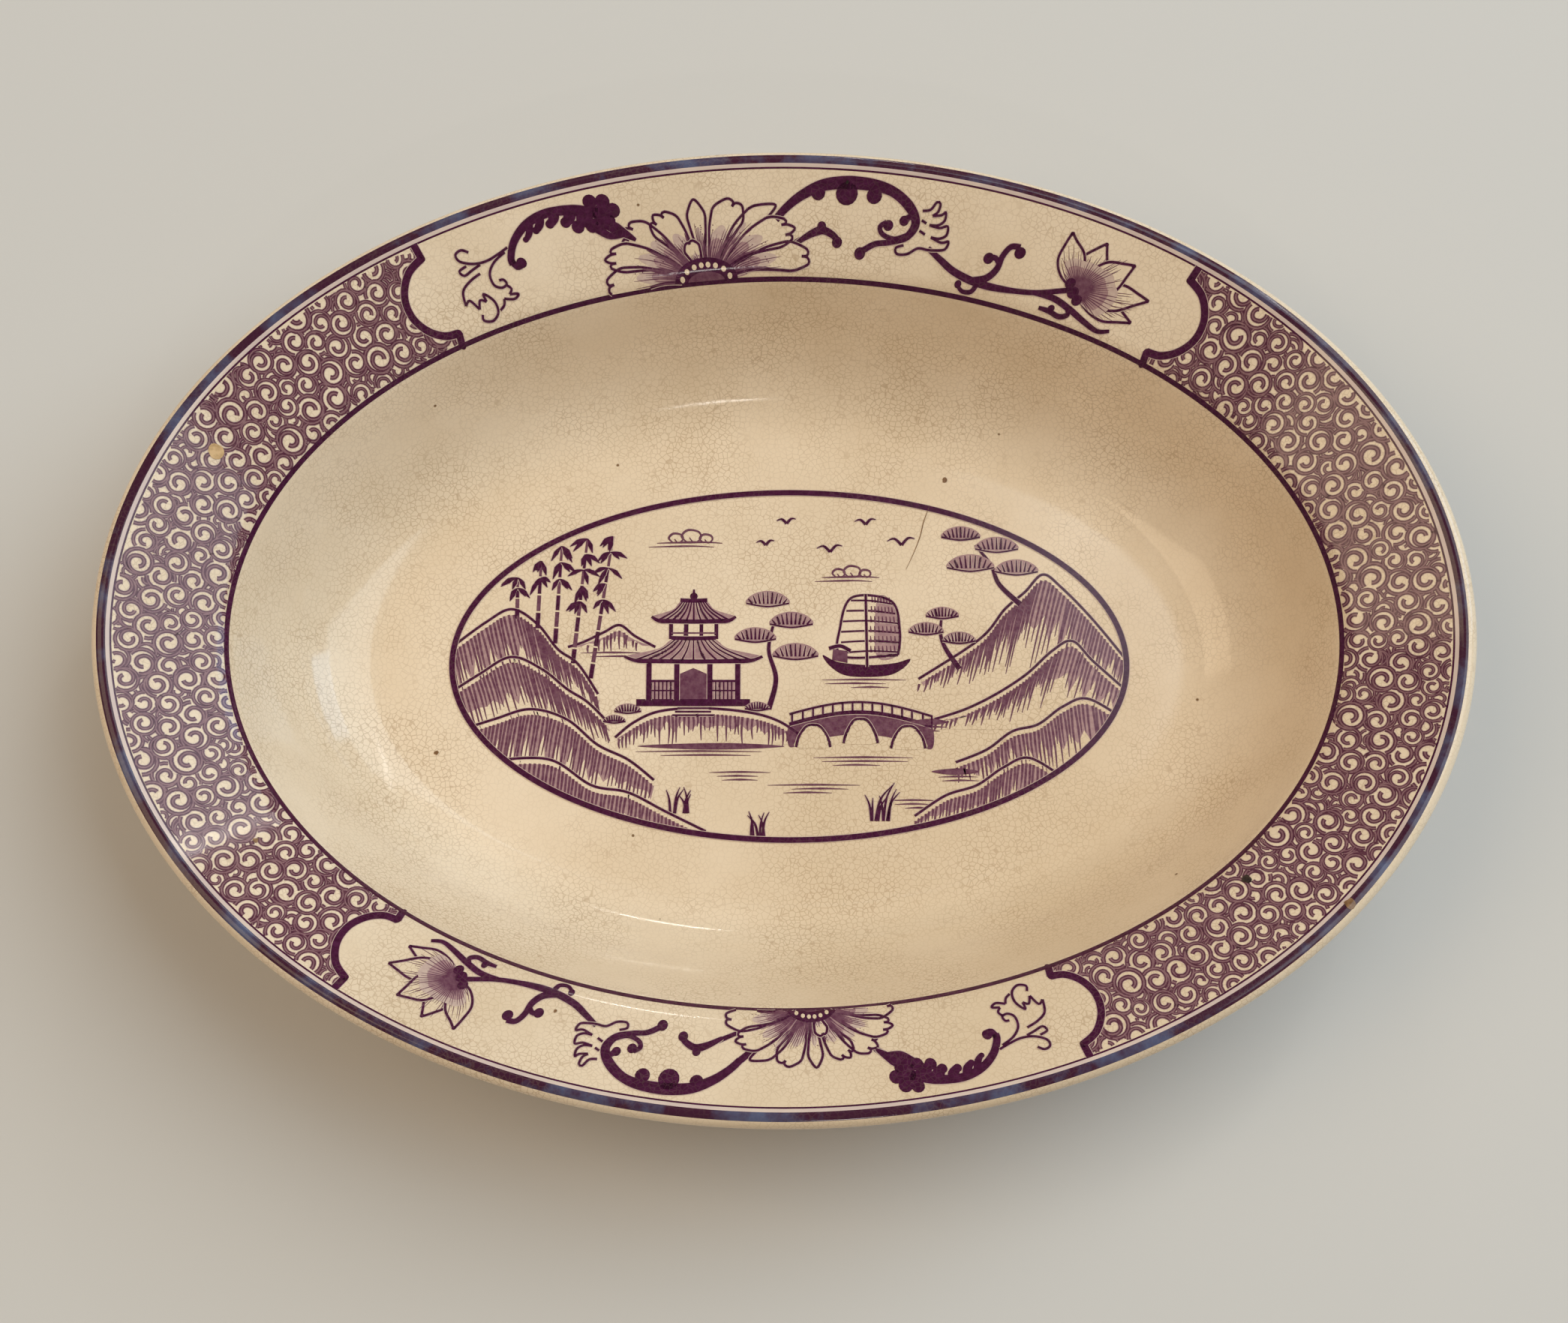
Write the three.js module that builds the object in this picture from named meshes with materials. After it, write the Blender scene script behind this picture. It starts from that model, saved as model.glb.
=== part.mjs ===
// Oval pottery vegetable dish: a pressed clay body on a luted foot, under a coat of glaze.
// Millimetres, +Z up, X along the dish. The origin is the middle of the face that it stands on.
import * as THREE from 'three';

// Sizes of the finished dish.
const LENGTH = 254; // over the lip, along X
const WIDTH = 185; // over the lip, along Y
const HEIGHT = 42;
const SPINE = 30.6; // half the line that the floor's oval levels close on
const RIM_WIDTH = 22; // lip to the rim's inner edge, on the long sides
const RIM_RISE = 10; // lip above the rim's inner edge
const LIP_RADIUS = 2.1;
const WALL_ANGLE = THREE.MathUtils.degToRad(60);
const WALL_THICKNESS = 4.6;
const FLOOR_THICKNESS = 5;
const FLOOR_SWEEP = 11; // run of floor that curves up into the wall
const WALL_SWEEP = 18; // length of wall that this curve takes
const BACK_SWEEP = 20; // length of wall that the curve into the foot takes, underneath
const RIM_ROUND = 2.6; // rounding each side of the rim's two corners
const FOOT_HALF_WIDTH = 50;
const FOOT_HEIGHT = 2.6;
const FOOT_WIDTH = 4.8;
const FOOT_TAPER = 0.6; // how far each side of the foot leans in
const GLAZE_THICKNESS = 0.3;
const GLAZE_SEAT = 0.12; // clearance between a coat of glaze and the clay under it
const BARE_FOOT = 0.9; // clay left bare above the standing face

// Facets.
const STEPS_AROUND = 60;
const STEPS_PER_CURVE = 4;

const clay = new THREE.MeshStandardMaterial({ color: 0xd9c6a3, roughness: 0.9, metalness: 0 });
const footClay = new THREE.MeshStandardMaterial({ color: 0xcdb58c, roughness: 0.95, metalness: 0 });
const creamGlaze = new THREE.MeshStandardMaterial({ color: 0xe4d7bd, roughness: 0.18, metalness: 0 });
const baseGlazeFinish = new THREE.MeshStandardMaterial({ color: 0xe0d1b3, roughness: 0.25, metalness: 0 });

// A profile point is (half width on the dish's short axis, height).
const point = (halfWidth, height) => new THREE.Vector2(halfWidth, height);
const along = (start, direction, distance) => start.clone().addScaledVector(direction, distance);
const heading = (angle) => point(Math.cos(angle), Math.sin(angle));

// Where the line through start along direction reaches a height.
function atHeight(start, direction, height) {
  return along(start, direction, (height - start.y) / direction.y);
}

// Where two lines cross.
function crossing(startA, directionA, startB, directionB) {
  const gap = startB.clone().sub(startA);
  return along(startA, directionA, gap.cross(directionB) / directionA.cross(directionB));
}

// Moves a line of points sideways, with corners kept sharp; a positive distance is to its left.
function offsetLine(points, distance) {
  const leftOf = (a, b) => point(a.y - b.y, b.x - a.x).normalize();
  return points.map((current, index) => {
    const before = points[Math.max(index - 1, 0)];
    const after = points[Math.min(index + 1, points.length - 1)];
    const arriving = before === current ? leftOf(current, after) : leftOf(before, current);
    const leaving = after === current ? arriving : leftOf(current, after);
    const corner = arriving.clone().add(leaving).normalize();
    return along(current, corner, distance / corner.dot(arriving));
  });
}

// The glazed surface in section: floor, wall, rim, lip, back, and down the foot's outer side.
function glazedSection() {
  const floorTop = FOOT_HEIGHT + FLOOR_THICKNESS;
  const wall = heading(WALL_ANGLE);
  const rimEdge = point(WIDTH / 2 - RIM_WIDTH, HEIGHT - RIM_RISE);
  const lipCentre = point(WIDTH / 2 - LIP_RADIUS, HEIGHT - LIP_RADIUS);
  const toLip = lipCentre.clone().sub(rimEdge);
  const rimAngle = toLip.angle() + Math.asin(LIP_RADIUS / toLip.length());
  const rim = heading(rimAngle);
  const rimNormal = heading(rimAngle + Math.PI / 2);
  const wallOutward = heading(WALL_ANGLE - Math.PI / 2);

  const floorCorner = atHeight(rimEdge, wall, floorTop);
  const backWall = along(rimEdge, wallOutward, WALL_THICKNESS);
  const underRim = along(lipCentre, rimNormal, -LIP_RADIUS);
  const backEdge = crossing(backWall, wall, underRim, rim);
  const backCorner = atHeight(backWall, wall, FOOT_HEIGHT);
  const footTop = point(FOOT_HALF_WIDTH, FOOT_HEIGHT);

  const path = new THREE.Path();
  const lineTo = (p) => path.lineTo(p.x, p.y);
  const curveTo = (corner, end) => path.quadraticCurveTo(corner.x, corner.y, end.x, end.y);

  path.moveTo(0, floorTop);
  path.lineTo(floorCorner.x - FLOOR_SWEEP, floorTop);
  curveTo(floorCorner, along(floorCorner, wall, WALL_SWEEP));
  lineTo(along(rimEdge, wall, -RIM_ROUND));
  curveTo(rimEdge, along(rimEdge, rim, RIM_ROUND));
  lineTo(along(lipCentre, rimNormal, LIP_RADIUS));
  path.absarc(lipCentre.x, lipCentre.y, LIP_RADIUS, rimAngle + Math.PI / 2, rimAngle - Math.PI / 2, true);
  lineTo(along(backEdge, rim, RIM_ROUND));
  curveTo(backEdge, along(backEdge, wall, -RIM_ROUND));
  lineTo(along(backCorner, wall, BACK_SWEEP));
  curveTo(backCorner, footTop);
  lineTo(footSide(footTop, -1, BARE_FOOT));
  return path.getPoints(STEPS_PER_CURVE).filter((p, i, all) => i === 0 || p.distanceTo(all[i - 1]) > 1e-6);
}

// The foot's side at a height, leaning from its top corner by the taper; way is -1 outside, 1 inside.
function footSide(topCorner, way, height) {
  return point(topCorner.x + way * FOOT_TAPER * (1 - height / topCorner.y), height);
}

// Turns a section, listed clockwise, round the dish: it starts and ends on the axis, or closes on itself.
// Each level is an ellipse: its half width is the section's, and its half length goes on past the spine.
function turnOval(section) {
  const outline = section[0].x === 0 ? section : [...section, section[0]];
  const geometry = new THREE.LatheGeometry(outline, STEPS_AROUND);
  const position = geometry.attributes.position;
  const stretch = (LENGTH / 2 - SPINE) / (WIDTH / 2);
  for (let i = 0; i < position.count; i += 1) {
    const turn = (-2 * Math.PI * Math.floor(i / outline.length)) / STEPS_AROUND;
    const { x: halfWidth, y: height } = outline[i % outline.length];
    const halfLength = SPINE + stretch * halfWidth;
    position.setXYZ(i, halfLength * Math.cos(turn), halfWidth * Math.sin(turn), height);
  }
  geometry.computeVertexNormals();
  return geometry;
}

function addPiece(group, name, section, material) {
  const mesh = new THREE.Mesh(turnOval(section), material);
  mesh.name = name;
  group.add(mesh);
}

const glazeOuter = glazedSection();
const glazeInner = offsetLine(glazeOuter, -GLAZE_THICKNESS);
const clayOuter = offsetLine(glazeInner, -GLAZE_SEAT);
const footJoint = clayOuter[clayOuter.length - 2];
const footJointInner = point(footJoint.x - FOOT_WIDTH, footJoint.y);
const onAxis = point(0, footJoint.y);

const footSection = [
  footJoint,
  footSide(footJoint, -1, 0),
  footSide(footJointInner, 1, 0),
  footJointInner,
];

// The patch of glaze inside the foot lines the recess and the foot's inner side.
const recessClay = [onAxis, footJointInner, footSide(footJointInner, 1, BARE_FOOT)];
const recessInner = offsetLine(recessClay, -GLAZE_SEAT);
const recessOuter = offsetLine(recessInner, -GLAZE_THICKNESS);

const dish = new THREE.Group();
addPiece(dish, 'clay_body', [...clayOuter.slice(0, -1), onAxis], clay);
addPiece(dish, 'foot_ring', footSection, footClay);
addPiece(dish, 'glaze_coat', [...glazeOuter, ...glazeInner.reverse()], creamGlaze);
addPiece(dish, 'base_glaze', [...recessInner, ...recessOuter.reverse()], baseGlazeFinish);

export default dish;
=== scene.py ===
import math
import random
from bisect import bisect_left

import bmesh
import bpy
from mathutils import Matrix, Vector
from mathutils.bvhtree import BVHTree
from mathutils.kdtree import KDTree


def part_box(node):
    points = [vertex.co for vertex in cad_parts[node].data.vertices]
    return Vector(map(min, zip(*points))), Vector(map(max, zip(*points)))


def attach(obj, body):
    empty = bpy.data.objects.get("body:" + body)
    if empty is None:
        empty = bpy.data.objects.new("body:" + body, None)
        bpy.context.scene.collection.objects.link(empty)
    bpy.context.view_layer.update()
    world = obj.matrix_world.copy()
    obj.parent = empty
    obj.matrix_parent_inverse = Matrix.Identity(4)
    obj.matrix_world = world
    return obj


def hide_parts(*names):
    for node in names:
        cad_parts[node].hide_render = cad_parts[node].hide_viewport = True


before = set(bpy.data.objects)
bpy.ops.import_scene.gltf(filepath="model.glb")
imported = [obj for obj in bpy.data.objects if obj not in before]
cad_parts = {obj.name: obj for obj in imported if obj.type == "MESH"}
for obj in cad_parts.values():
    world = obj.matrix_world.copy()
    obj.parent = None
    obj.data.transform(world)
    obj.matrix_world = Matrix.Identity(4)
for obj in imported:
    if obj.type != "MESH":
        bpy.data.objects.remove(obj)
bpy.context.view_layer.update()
mm = 0.001
random.seed(41)

# the dish in section, in mm, as half widths on its short axis and heights
dishShape = {
    "spine": 30.6,  # half the line that the floor's ovals close on
    "rimWidth": 22.0,
    "rimRise": 10.0,
    "lipRadius": 2.1,
    "wallAngle": 60.0,
    "wallThickness": 4.6,
    "floorThickness": 5.0,
    "floorSweep": 11.0,
    "wallSweep": 18.0,
    "backSweep": 20.0,
    "rimRound": 2.6,
    "footHalfWidth": 50.0,
    "footHeight": 2.6,
    "footWidth": 4.8,
    "footTaper": 0.6,
    "footChamfer": 0.35,
    "glaze": 0.3,
    "seat": 0.12,  # between a coat of glaze and the clay
    "bareFoot": 0.9,
    "stepsAround": 240,
    "curveSteps": 12,
    "floorSeam": 1.5,  # half width of the flat patch in the middle of the floor
}

glazeLow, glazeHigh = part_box("glaze_coat")
halfLength = (glazeHigh[0] - glazeLow[0]) / 2 / mm
halfWidth = (glazeHigh[1] - glazeLow[1]) / 2 / mm
dishHeight = glazeHigh[2] / mm
endStretch = (halfLength - dishShape["spine"]) / halfWidth


def heading(angle):
    return Vector((math.cos(angle), math.sin(angle)))


def bend(start, corner, end):
    steps = dishShape["curveSteps"]
    line = []
    for k in range(steps + 1):
        part = k / steps
        line.append(start.lerp(corner, part).lerp(corner.lerp(end, part), part))
    return line


def offsetLine(line, distance):
    moved = []
    for k, here in enumerate(line):
        ahead = line[min(k + 1, len(line) - 1)] - line[max(k - 1, 0)]
        side = Vector((-ahead.y, ahead.x)).normalized()
        moved.append(here + side * distance)
    return moved


def glazeSection():
    s = dishShape
    wallAngle = math.radians(s["wallAngle"])
    wall = heading(wallAngle)
    floorTop = s["footHeight"] + s["floorThickness"]
    rimEdge = Vector((halfWidth - s["rimWidth"], dishHeight - s["rimRise"]))
    lipCentre = Vector((halfWidth - s["lipRadius"], dishHeight - s["lipRadius"]))
    toLip = lipCentre - rimEdge
    rimAngle = math.atan2(toLip.y, toLip.x) + math.asin(s["lipRadius"] / toLip.length)
    rim = heading(rimAngle)
    rimNormal = heading(rimAngle + math.pi / 2)
    floorCorner = rimEdge + wall * ((floorTop - rimEdge.y) / wall.y)
    backWall = rimEdge + heading(wallAngle - math.pi / 2) * s["wallThickness"]
    backCorner = backWall + wall * ((s["footHeight"] - backWall.y) / wall.y)
    underRim = lipCentre - rimNormal * s["lipRadius"]
    gap = underRim - backWall
    backEdge = backWall + wall * (gap.cross(rim) / wall.cross(rim))
    footTop = Vector((s["footHalfWidth"], s["footHeight"]))

    face = [Vector((s["floorSeam"], floorTop)), Vector((floorCorner.x - s["floorSweep"] - 2, floorTop))]
    face += bend(floorCorner - Vector((s["floorSweep"], 0)), floorCorner, floorCorner + wall * s["wallSweep"])
    face += bend(rimEdge - wall * s["rimRound"], rimEdge, rimEdge + rim * s["rimRound"])
    lipSteps = 2 * s["curveSteps"]
    nose = []
    for k in range(lipSteps + 1):
        nose.append(lipCentre + heading(rimAngle + math.pi * (0.5 - k / lipSteps)) * s["lipRadius"])
    back = bend(backEdge + rim * s["rimRound"], backEdge, backEdge - wall * s["rimRound"])
    back += bend(backCorner + wall * s["backSweep"], backCorner, footTop + Vector((0.4, 0)))
    back += [footTop, Vector((footTop.x - s["footTaper"] * (1 - s["bareFoot"] / footTop.y), s["bareFoot"]))]
    return face + nose + back


def ovalPoint(turn, reach):
    return Vector(((dishShape["spine"] + endStretch * reach) * math.cos(turn), reach * math.sin(turn)))


# spins a section round the dish and draws its circles out into the dish's ovals
def spinSection(bm, section, closed, drawIn=None):
    verts = [bm.verts.new((p.x * mm, 0, p.y * mm)) for p in section]
    pairs = list(zip(verts, verts[1:]))
    if closed:
        pairs.append((verts[-1], verts[0]))
    edges = [bm.edges.new(pair) for pair in pairs]
    bmesh.ops.spin(
        bm, geom=verts + edges, cent=(0, 0, 0), axis=(0, 0, 1), dvec=(0, 0, 0), angle=2 * math.pi,
        steps=dishShape["stepsAround"], use_merge=True, use_normal_flip=False, use_duplicate=False,
    )
    for v in bm.verts:
        reach = math.hypot(v.co.x, v.co.y) / mm
        turn = math.atan2(v.co.y, v.co.x)
        if drawIn:
            reach -= drawIn(turn, reach)
        v.co.x, v.co.y = ovalPoint(turn, reach) * mm


def turnOval(section, closed):
    bm = bmesh.new()
    spinSection(bm, section, closed)
    bmesh.ops.remove_doubles(bm, verts=bm.verts, dist=1e-7)
    if not closed:
        bmesh.ops.holes_fill(bm, edges=[e for e in bm.edges if e.is_boundary], sides=0)
    bmesh.ops.recalc_face_normals(bm, faces=bm.faces)
    return bm


def finishPiece(name, bm, materials, replaced=None):
    mesh = bpy.data.meshes.new(name)
    bm.to_mesh(mesh)
    bm.free()
    mesh.shade_smooth()
    piece = bpy.data.objects.new(name, mesh)
    bpy.context.collection.objects.link(piece)
    for material in materials:
        mesh.materials.append(material)
    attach(piece, "root")
    if replaced:
        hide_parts(replaced)
    return piece


# shader helpers
def startMaterial(name):
    material = bpy.data.materials.new(name)
    material.use_nodes = True
    nodes = material.node_tree.nodes
    links = material.node_tree.links
    return material, nodes, links, nodes["Principled BSDF"]


def addNode(nodes, kind, settings=None, **inputs):
    node = nodes.new(kind)
    for key, value in (settings or {}).items():
        setattr(node, key, value)
    for key, value in inputs.items():
        node.inputs[key].default_value = value
    return node


def mixColours(nodes, links, factor, first, second):
    mix = addNode(nodes, "ShaderNodeMix", {"data_type": "RGBA"})
    for socket, value in ((mix.inputs[0], factor), (mix.inputs[6], first), (mix.inputs[7], second)):
        if isinstance(value, bpy.types.NodeSocket):
            links.new(value, socket)
        else:
            socket.default_value = value
    return mix.outputs[2]


def mapRange(nodes, links, source, fromMin, fromMax, toMin, toMax):
    node = addNode(nodes, "ShaderNodeMapRange")
    links.new(source, node.inputs["Value"])
    for key, value in zip(("From Min", "From Max", "To Min", "To Max"), (fromMin, fromMax, toMin, toMax)):
        node.inputs[key].default_value = value
    return node.outputs["Result"]


# fine crazing, stains and kiln specks that run through the glaze and over the print alike, in metres
crazing = {"cell": 0.001, "waver": 0.0004, "line": 0.1, "shade": 0.5, "inkShade": 0.06, "relief": 0.000008}
teaStain = {"middle": (0.03, -0.06, 0.02), "near": 0.025, "far": 0.085, "amount": 0.42}
ageScales = {"waver": 420.0, "patches": 60.0, "specks": 70.0, "stain": 24.0, "mottle": 900.0, "bleed": 95.0}


def makeGlazeAge():
    group = bpy.data.node_groups.new("glazeAge", "ShaderNodeTree")
    group.interface.new_socket("Vector", in_out="INPUT", socket_type="NodeSocketVector")
    for name in ("Crackle", "Stain", "Tea", "Specks", "Relief", "Mottle", "Bleed"):
        group.interface.new_socket(name, in_out="OUTPUT", socket_type="NodeSocketFloat")
    nodes, links = group.nodes, group.links
    start = nodes.new("NodeGroupInput")
    end = nodes.new("NodeGroupOutput")

    def noise(scale, detail, roughness=0.55):
        node = addNode(nodes, "ShaderNodeTexNoise", Scale=scale, Detail=detail, Roughness=roughness)
        links.new(start.outputs["Vector"], node.inputs["Vector"])
        return node

    centred = addNode(nodes, "ShaderNodeVectorMath", {"operation": "SUBTRACT"})
    links.new(noise(ageScales["waver"], 2.0).outputs["Color"], centred.inputs[0])
    centred.inputs[1].default_value = (0.5, 0.5, 0.5)
    swayed = addNode(nodes, "ShaderNodeVectorMath", {"operation": "MULTIPLY_ADD"})
    links.new(centred.outputs[0], swayed.inputs[0])
    swayed.inputs[1].default_value = (crazing["waver"],) * 3
    links.new(start.outputs["Vector"], swayed.inputs[2])
    cells = addNode(nodes, "ShaderNodeTexVoronoi", {"feature": "DISTANCE_TO_EDGE"}, Scale=1 / crazing["cell"])
    links.new(swayed.outputs[0], cells.inputs["Vector"])
    line = mapRange(nodes, links, cells.outputs["Distance"], 0.0, crazing["line"], 1.0, 0.0)

    # crazing shows in some patches more than others
    shown = mapRange(nodes, links, noise(ageScales["patches"], 3.0).outputs["Fac"], 0.36, 0.64, 0.2, 1.0)
    crackle = addNode(nodes, "ShaderNodeMath", {"operation": "MULTIPLY"})
    links.new(line, crackle.inputs[0])
    links.new(shown, crackle.inputs[1])

    speck = addNode(nodes, "ShaderNodeTexVoronoi", Scale=ageScales["specks"])
    links.new(start.outputs["Vector"], speck.inputs["Vector"])

    # one side of the well has soaked up more than the rest
    fromTea = addNode(nodes, "ShaderNodeVectorMath", {"operation": "DISTANCE"})
    links.new(start.outputs["Vector"], fromTea.inputs[0])
    fromTea.inputs[1].default_value = teaStain["middle"]
    near, far = teaStain["near"], teaStain["far"]
    links.new(mapRange(nodes, links, fromTea.outputs["Value"], near, far, 1.0, 0.0), end.inputs["Tea"])

    links.new(crackle.outputs[0], end.inputs["Crackle"])
    stain = noise(ageScales["stain"], 6.0, 0.62).outputs["Fac"]
    links.new(mapRange(nodes, links, stain, 0.36, 0.72, 0.0, 1.0), end.inputs["Stain"])
    links.new(mapRange(nodes, links, speck.outputs["Distance"], 0.014, 0.026, 1.0, 0.0), end.inputs["Specks"])
    links.new(mapRange(nodes, links, crackle.outputs[0], 0.0, 1.0, 1.0, 0.0), end.inputs["Relief"])
    links.new(noise(ageScales["mottle"], 3.0, 0.6).outputs["Fac"], end.inputs["Mottle"])
    links.new(noise(ageScales["bleed"], 4.0, 0.6).outputs["Fac"], end.inputs["Bleed"])
    return group


glazeAge = makeGlazeAge()


def placeAge(nodes, links):
    coords = nodes.new("ShaderNodeTexCoord")
    age = nodes.new("ShaderNodeGroup")
    age.node_tree = glazeAge
    links.new(coords.outputs["Object"], age.inputs["Vector"])
    return age.outputs


gloss = {"clean": 0.06, "stained": 0.13, "bump": 0.2, "ior": 1.52, "specular": 0.3}


def glossyCoat(nodes, links, shader, age):
    roughness = mapRange(nodes, links, age["Stain"], 0.0, 1.0, gloss["clean"], gloss["stained"])
    links.new(roughness, shader.inputs["Roughness"])
    bump = addNode(nodes, "ShaderNodeBump", Strength=gloss["bump"], Distance=crazing["relief"])
    links.new(age["Relief"], bump.inputs["Height"])
    links.new(bump.outputs["Normal"], shader.inputs["Normal"])
    shader.inputs["IOR"].default_value = gloss["ior"]
    shader.inputs["Specular IOR Level"].default_value = gloss["specular"]


glazeFinish = {
    "cream": (0.82, 0.65, 0.46, 1),
    "tan": (0.62, 0.45, 0.27, 1),
    "crackle": (0.34, 0.2, 0.095, 1),
    "speck": (0.2, 0.11, 0.05, 1),
}


def makeGlaze(name, stainAmount):
    material, nodes, links, shader = startMaterial(name)
    age = placeAge(nodes, links)
    stain = mapRange(nodes, links, age["Stain"], 0.0, 1.0, 0.0, stainAmount)
    colour = mixColours(nodes, links, stain, glazeFinish["cream"], glazeFinish["tan"])
    tea = mapRange(nodes, links, age["Tea"], 0.0, 1.0, 0.0, teaStain["amount"])
    colour = mixColours(nodes, links, tea, colour, glazeFinish["tan"])
    lines = mapRange(nodes, links, age["Crackle"], 0.0, 1.0, 0.0, crazing["shade"])
    colour = mixColours(nodes, links, lines, colour, glazeFinish["crackle"])
    colour = mixColours(nodes, links, age["Specks"], colour, glazeFinish["speck"])
    links.new(colour, shader.inputs["Base Color"])
    glossyCoat(nodes, links, shader, age)
    return material


def makeInk(name, colour, faded, fadeFrom, fadeTo, pattern="Mottle"):
    material, nodes, links, shader = startMaterial(name)
    age = placeAge(nodes, links)
    fade = mapRange(nodes, links, age[pattern], fadeFrom, fadeTo, 0.0, 1.0)
    shade = mixColours(nodes, links, fade, colour, faded)
    lines = mapRange(nodes, links, age["Crackle"], 0.0, 1.0, 0.0, crazing["inkShade"])
    links.new(mixColours(nodes, links, lines, shade, glazeFinish["tan"]), shader.inputs["Base Color"])
    glossyCoat(nodes, links, shader, age)
    return material


clayGrain = {"scale": 650.0, "bump": 0.5, "relief": 0.0001}


def makeClay(name, colour, dark):
    material, nodes, links, shader = startMaterial(name)
    coords = nodes.new("ShaderNodeTexCoord")
    grain = addNode(nodes, "ShaderNodeTexNoise", Scale=clayGrain["scale"], Detail=5.0, Roughness=0.65)
    links.new(coords.outputs["Object"], grain.inputs["Vector"])
    soil = mapRange(nodes, links, grain.outputs["Fac"], 0.42, 0.7, 0.0, 1.0)
    links.new(mixColours(nodes, links, soil, colour, dark), shader.inputs["Base Color"])
    links.new(mapRange(nodes, links, grain.outputs["Fac"], 0.3, 0.7, 0.78, 0.95), shader.inputs["Roughness"])
    bump = addNode(nodes, "ShaderNodeBump", Strength=clayGrain["bump"], Distance=clayGrain["relief"])
    links.new(grain.outputs["Fac"], bump.inputs["Height"])
    links.new(bump.outputs["Normal"], shader.inputs["Normal"])
    return material


creamGlaze = makeGlaze("creamGlaze", 0.56)
baseGlaze = makeGlaze("baseGlaze", 0.7)
bareClay = makeClay("bareClay", (0.62, 0.5, 0.33, 1), (0.42, 0.3, 0.17, 1))
inks = {
    "cream": creamGlaze,
    "plum": makeInk("plumInk", (0.046, 0.002, 0.022, 1), (0.078, 0.009, 0.044, 1), 0.4, 0.75),
    "mauve": makeInk("mauveInk", (0.108, 0.028, 0.055, 1), (0.18, 0.075, 0.1, 1), 0.35, 0.7),
    "halo": makeInk("inkHalo", (0.5, 0.345, 0.285, 1), (0.6, 0.44, 0.345, 1), 0.35, 0.7),
    "wash": makeInk("bandWash", (0.6, 0.455, 0.39, 1), (0.68, 0.525, 0.42, 1), 0.4, 0.65, "Bleed"),
    "pale": makeInk("paleInk", (0.32, 0.175, 0.18, 1), (0.43, 0.265, 0.235, 1), 0.35, 0.7),
    "scrollEdge": makeInk("scrollEdgeInk", (0.08, 0.017, 0.034, 1), (0.14, 0.05, 0.066, 1), 0.4, 0.75),
    "scrollHeart": makeInk("scrollHeartInk", (0.205, 0.092, 0.105, 1), (0.29, 0.155, 0.15, 1), 0.4, 0.75),
    "band": makeInk("bandInk", (0.048, 0.008, 0.024, 1), (0.085, 0.09, 0.155, 1), 0.47, 0.66, "Bleed"),
    "brown": makeInk("brownStain", (0.16, 0.075, 0.03, 1), (0.3, 0.16, 0.07, 1), 0.35, 0.7),
    "pit": makeInk("kilnPit", (0.02, 0.012, 0.01, 1), (0.05, 0.03, 0.02, 1), 0.35, 0.7),
    "chip": makeClay("chippedClay", (0.66, 0.43, 0.21, 1), (0.42, 0.25, 0.1, 1)),
}
print("materials ready")

# the four pieces of the dish itself
coat = glazeSection()
coatInner = offsetLine(coat, -dishShape["glaze"])
clay = offsetLine(coat, -dishShape["glaze"] - dishShape["seat"])
footJoint = clay[-2]
footInner = Vector((footJoint.x - dishShape["footWidth"], footJoint.y))
seam = Vector((dishShape["floorSeam"], footJoint.y))

coatShell = turnOval(coat + coatInner[::-1], False)
glazeTree = BVHTree.FromBMesh(coatShell)
finishPiece("glaze_coat_smooth", coatShell, [creamGlaze], "glaze_coat")
finishPiece("clay_body_smooth", turnOval(clay[:-1] + [seam], False), [bareClay], "clay_body")

lean = dishShape["footTaper"]
chamfer = dishShape["footChamfer"]
footLine = [
    footJoint,
    Vector((footJoint.x - lean, chamfer)),
    Vector((footJoint.x - lean - chamfer, 0)),
    Vector((footInner.x + lean + chamfer, 0)),
    Vector((footInner.x + lean, chamfer)),
    footInner,
]
finishPiece("foot_ring_smooth", turnOval(footLine, True), [bareClay], "foot_ring")

footStop = Vector((footInner.x + lean * (1 - dishShape["bareFoot"] / footInner.y), dishShape["bareFoot"]))
recess = [seam] + [footInner - Vector(step) for step in ((1.2, 0), (0.35, 0.1), (0, 0.5))] + [footStop]
recess = offsetLine(recess, -dishShape["seat"])
recessFace = offsetLine(recess, -dishShape["glaze"])
recessShell = turnOval(recess + recessFace[::-1], False)
finishPiece("base_glaze_smooth", recessShell, [baseGlaze], "base_glaze")
print("dish turned")

# the print is drawn flat in mm, in strokes and patches, then laid down on the glaze
printFilm = {
    "lift": 0.02,
    "layerStep": 0.008,
    "itemSteps": 5,  # strokes of one layer lie at this many slightly different heights
    "strokeStep": 0.4,
    "spread": 0.22,  # how much wider the halo of bled ink is than its stroke
    "longestEdge": 0.4,  # on the curved rim
}
bleedingInks = {"plum", "scrollEdge"}


def newPage():
    return {"strokes": [], "patches": []}


def stroke(page, ink, points, width, layer=2, flowing=True):
    page["strokes"].append((ink, [Vector(p) for p in points], width, layer, flowing))


def patch(page, ink, points, layer=1, flowing=True):
    page["patches"].append((ink, [Vector(p) for p in points], layer, flowing))


def disc(page, ink, centre, radius, layer=2, sides=14):
    centre = Vector(centre)
    ring = [centre + heading(2 * math.pi * k / sides) * radius for k in range(sides)]
    patch(page, ink, ring, layer, False)


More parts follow.
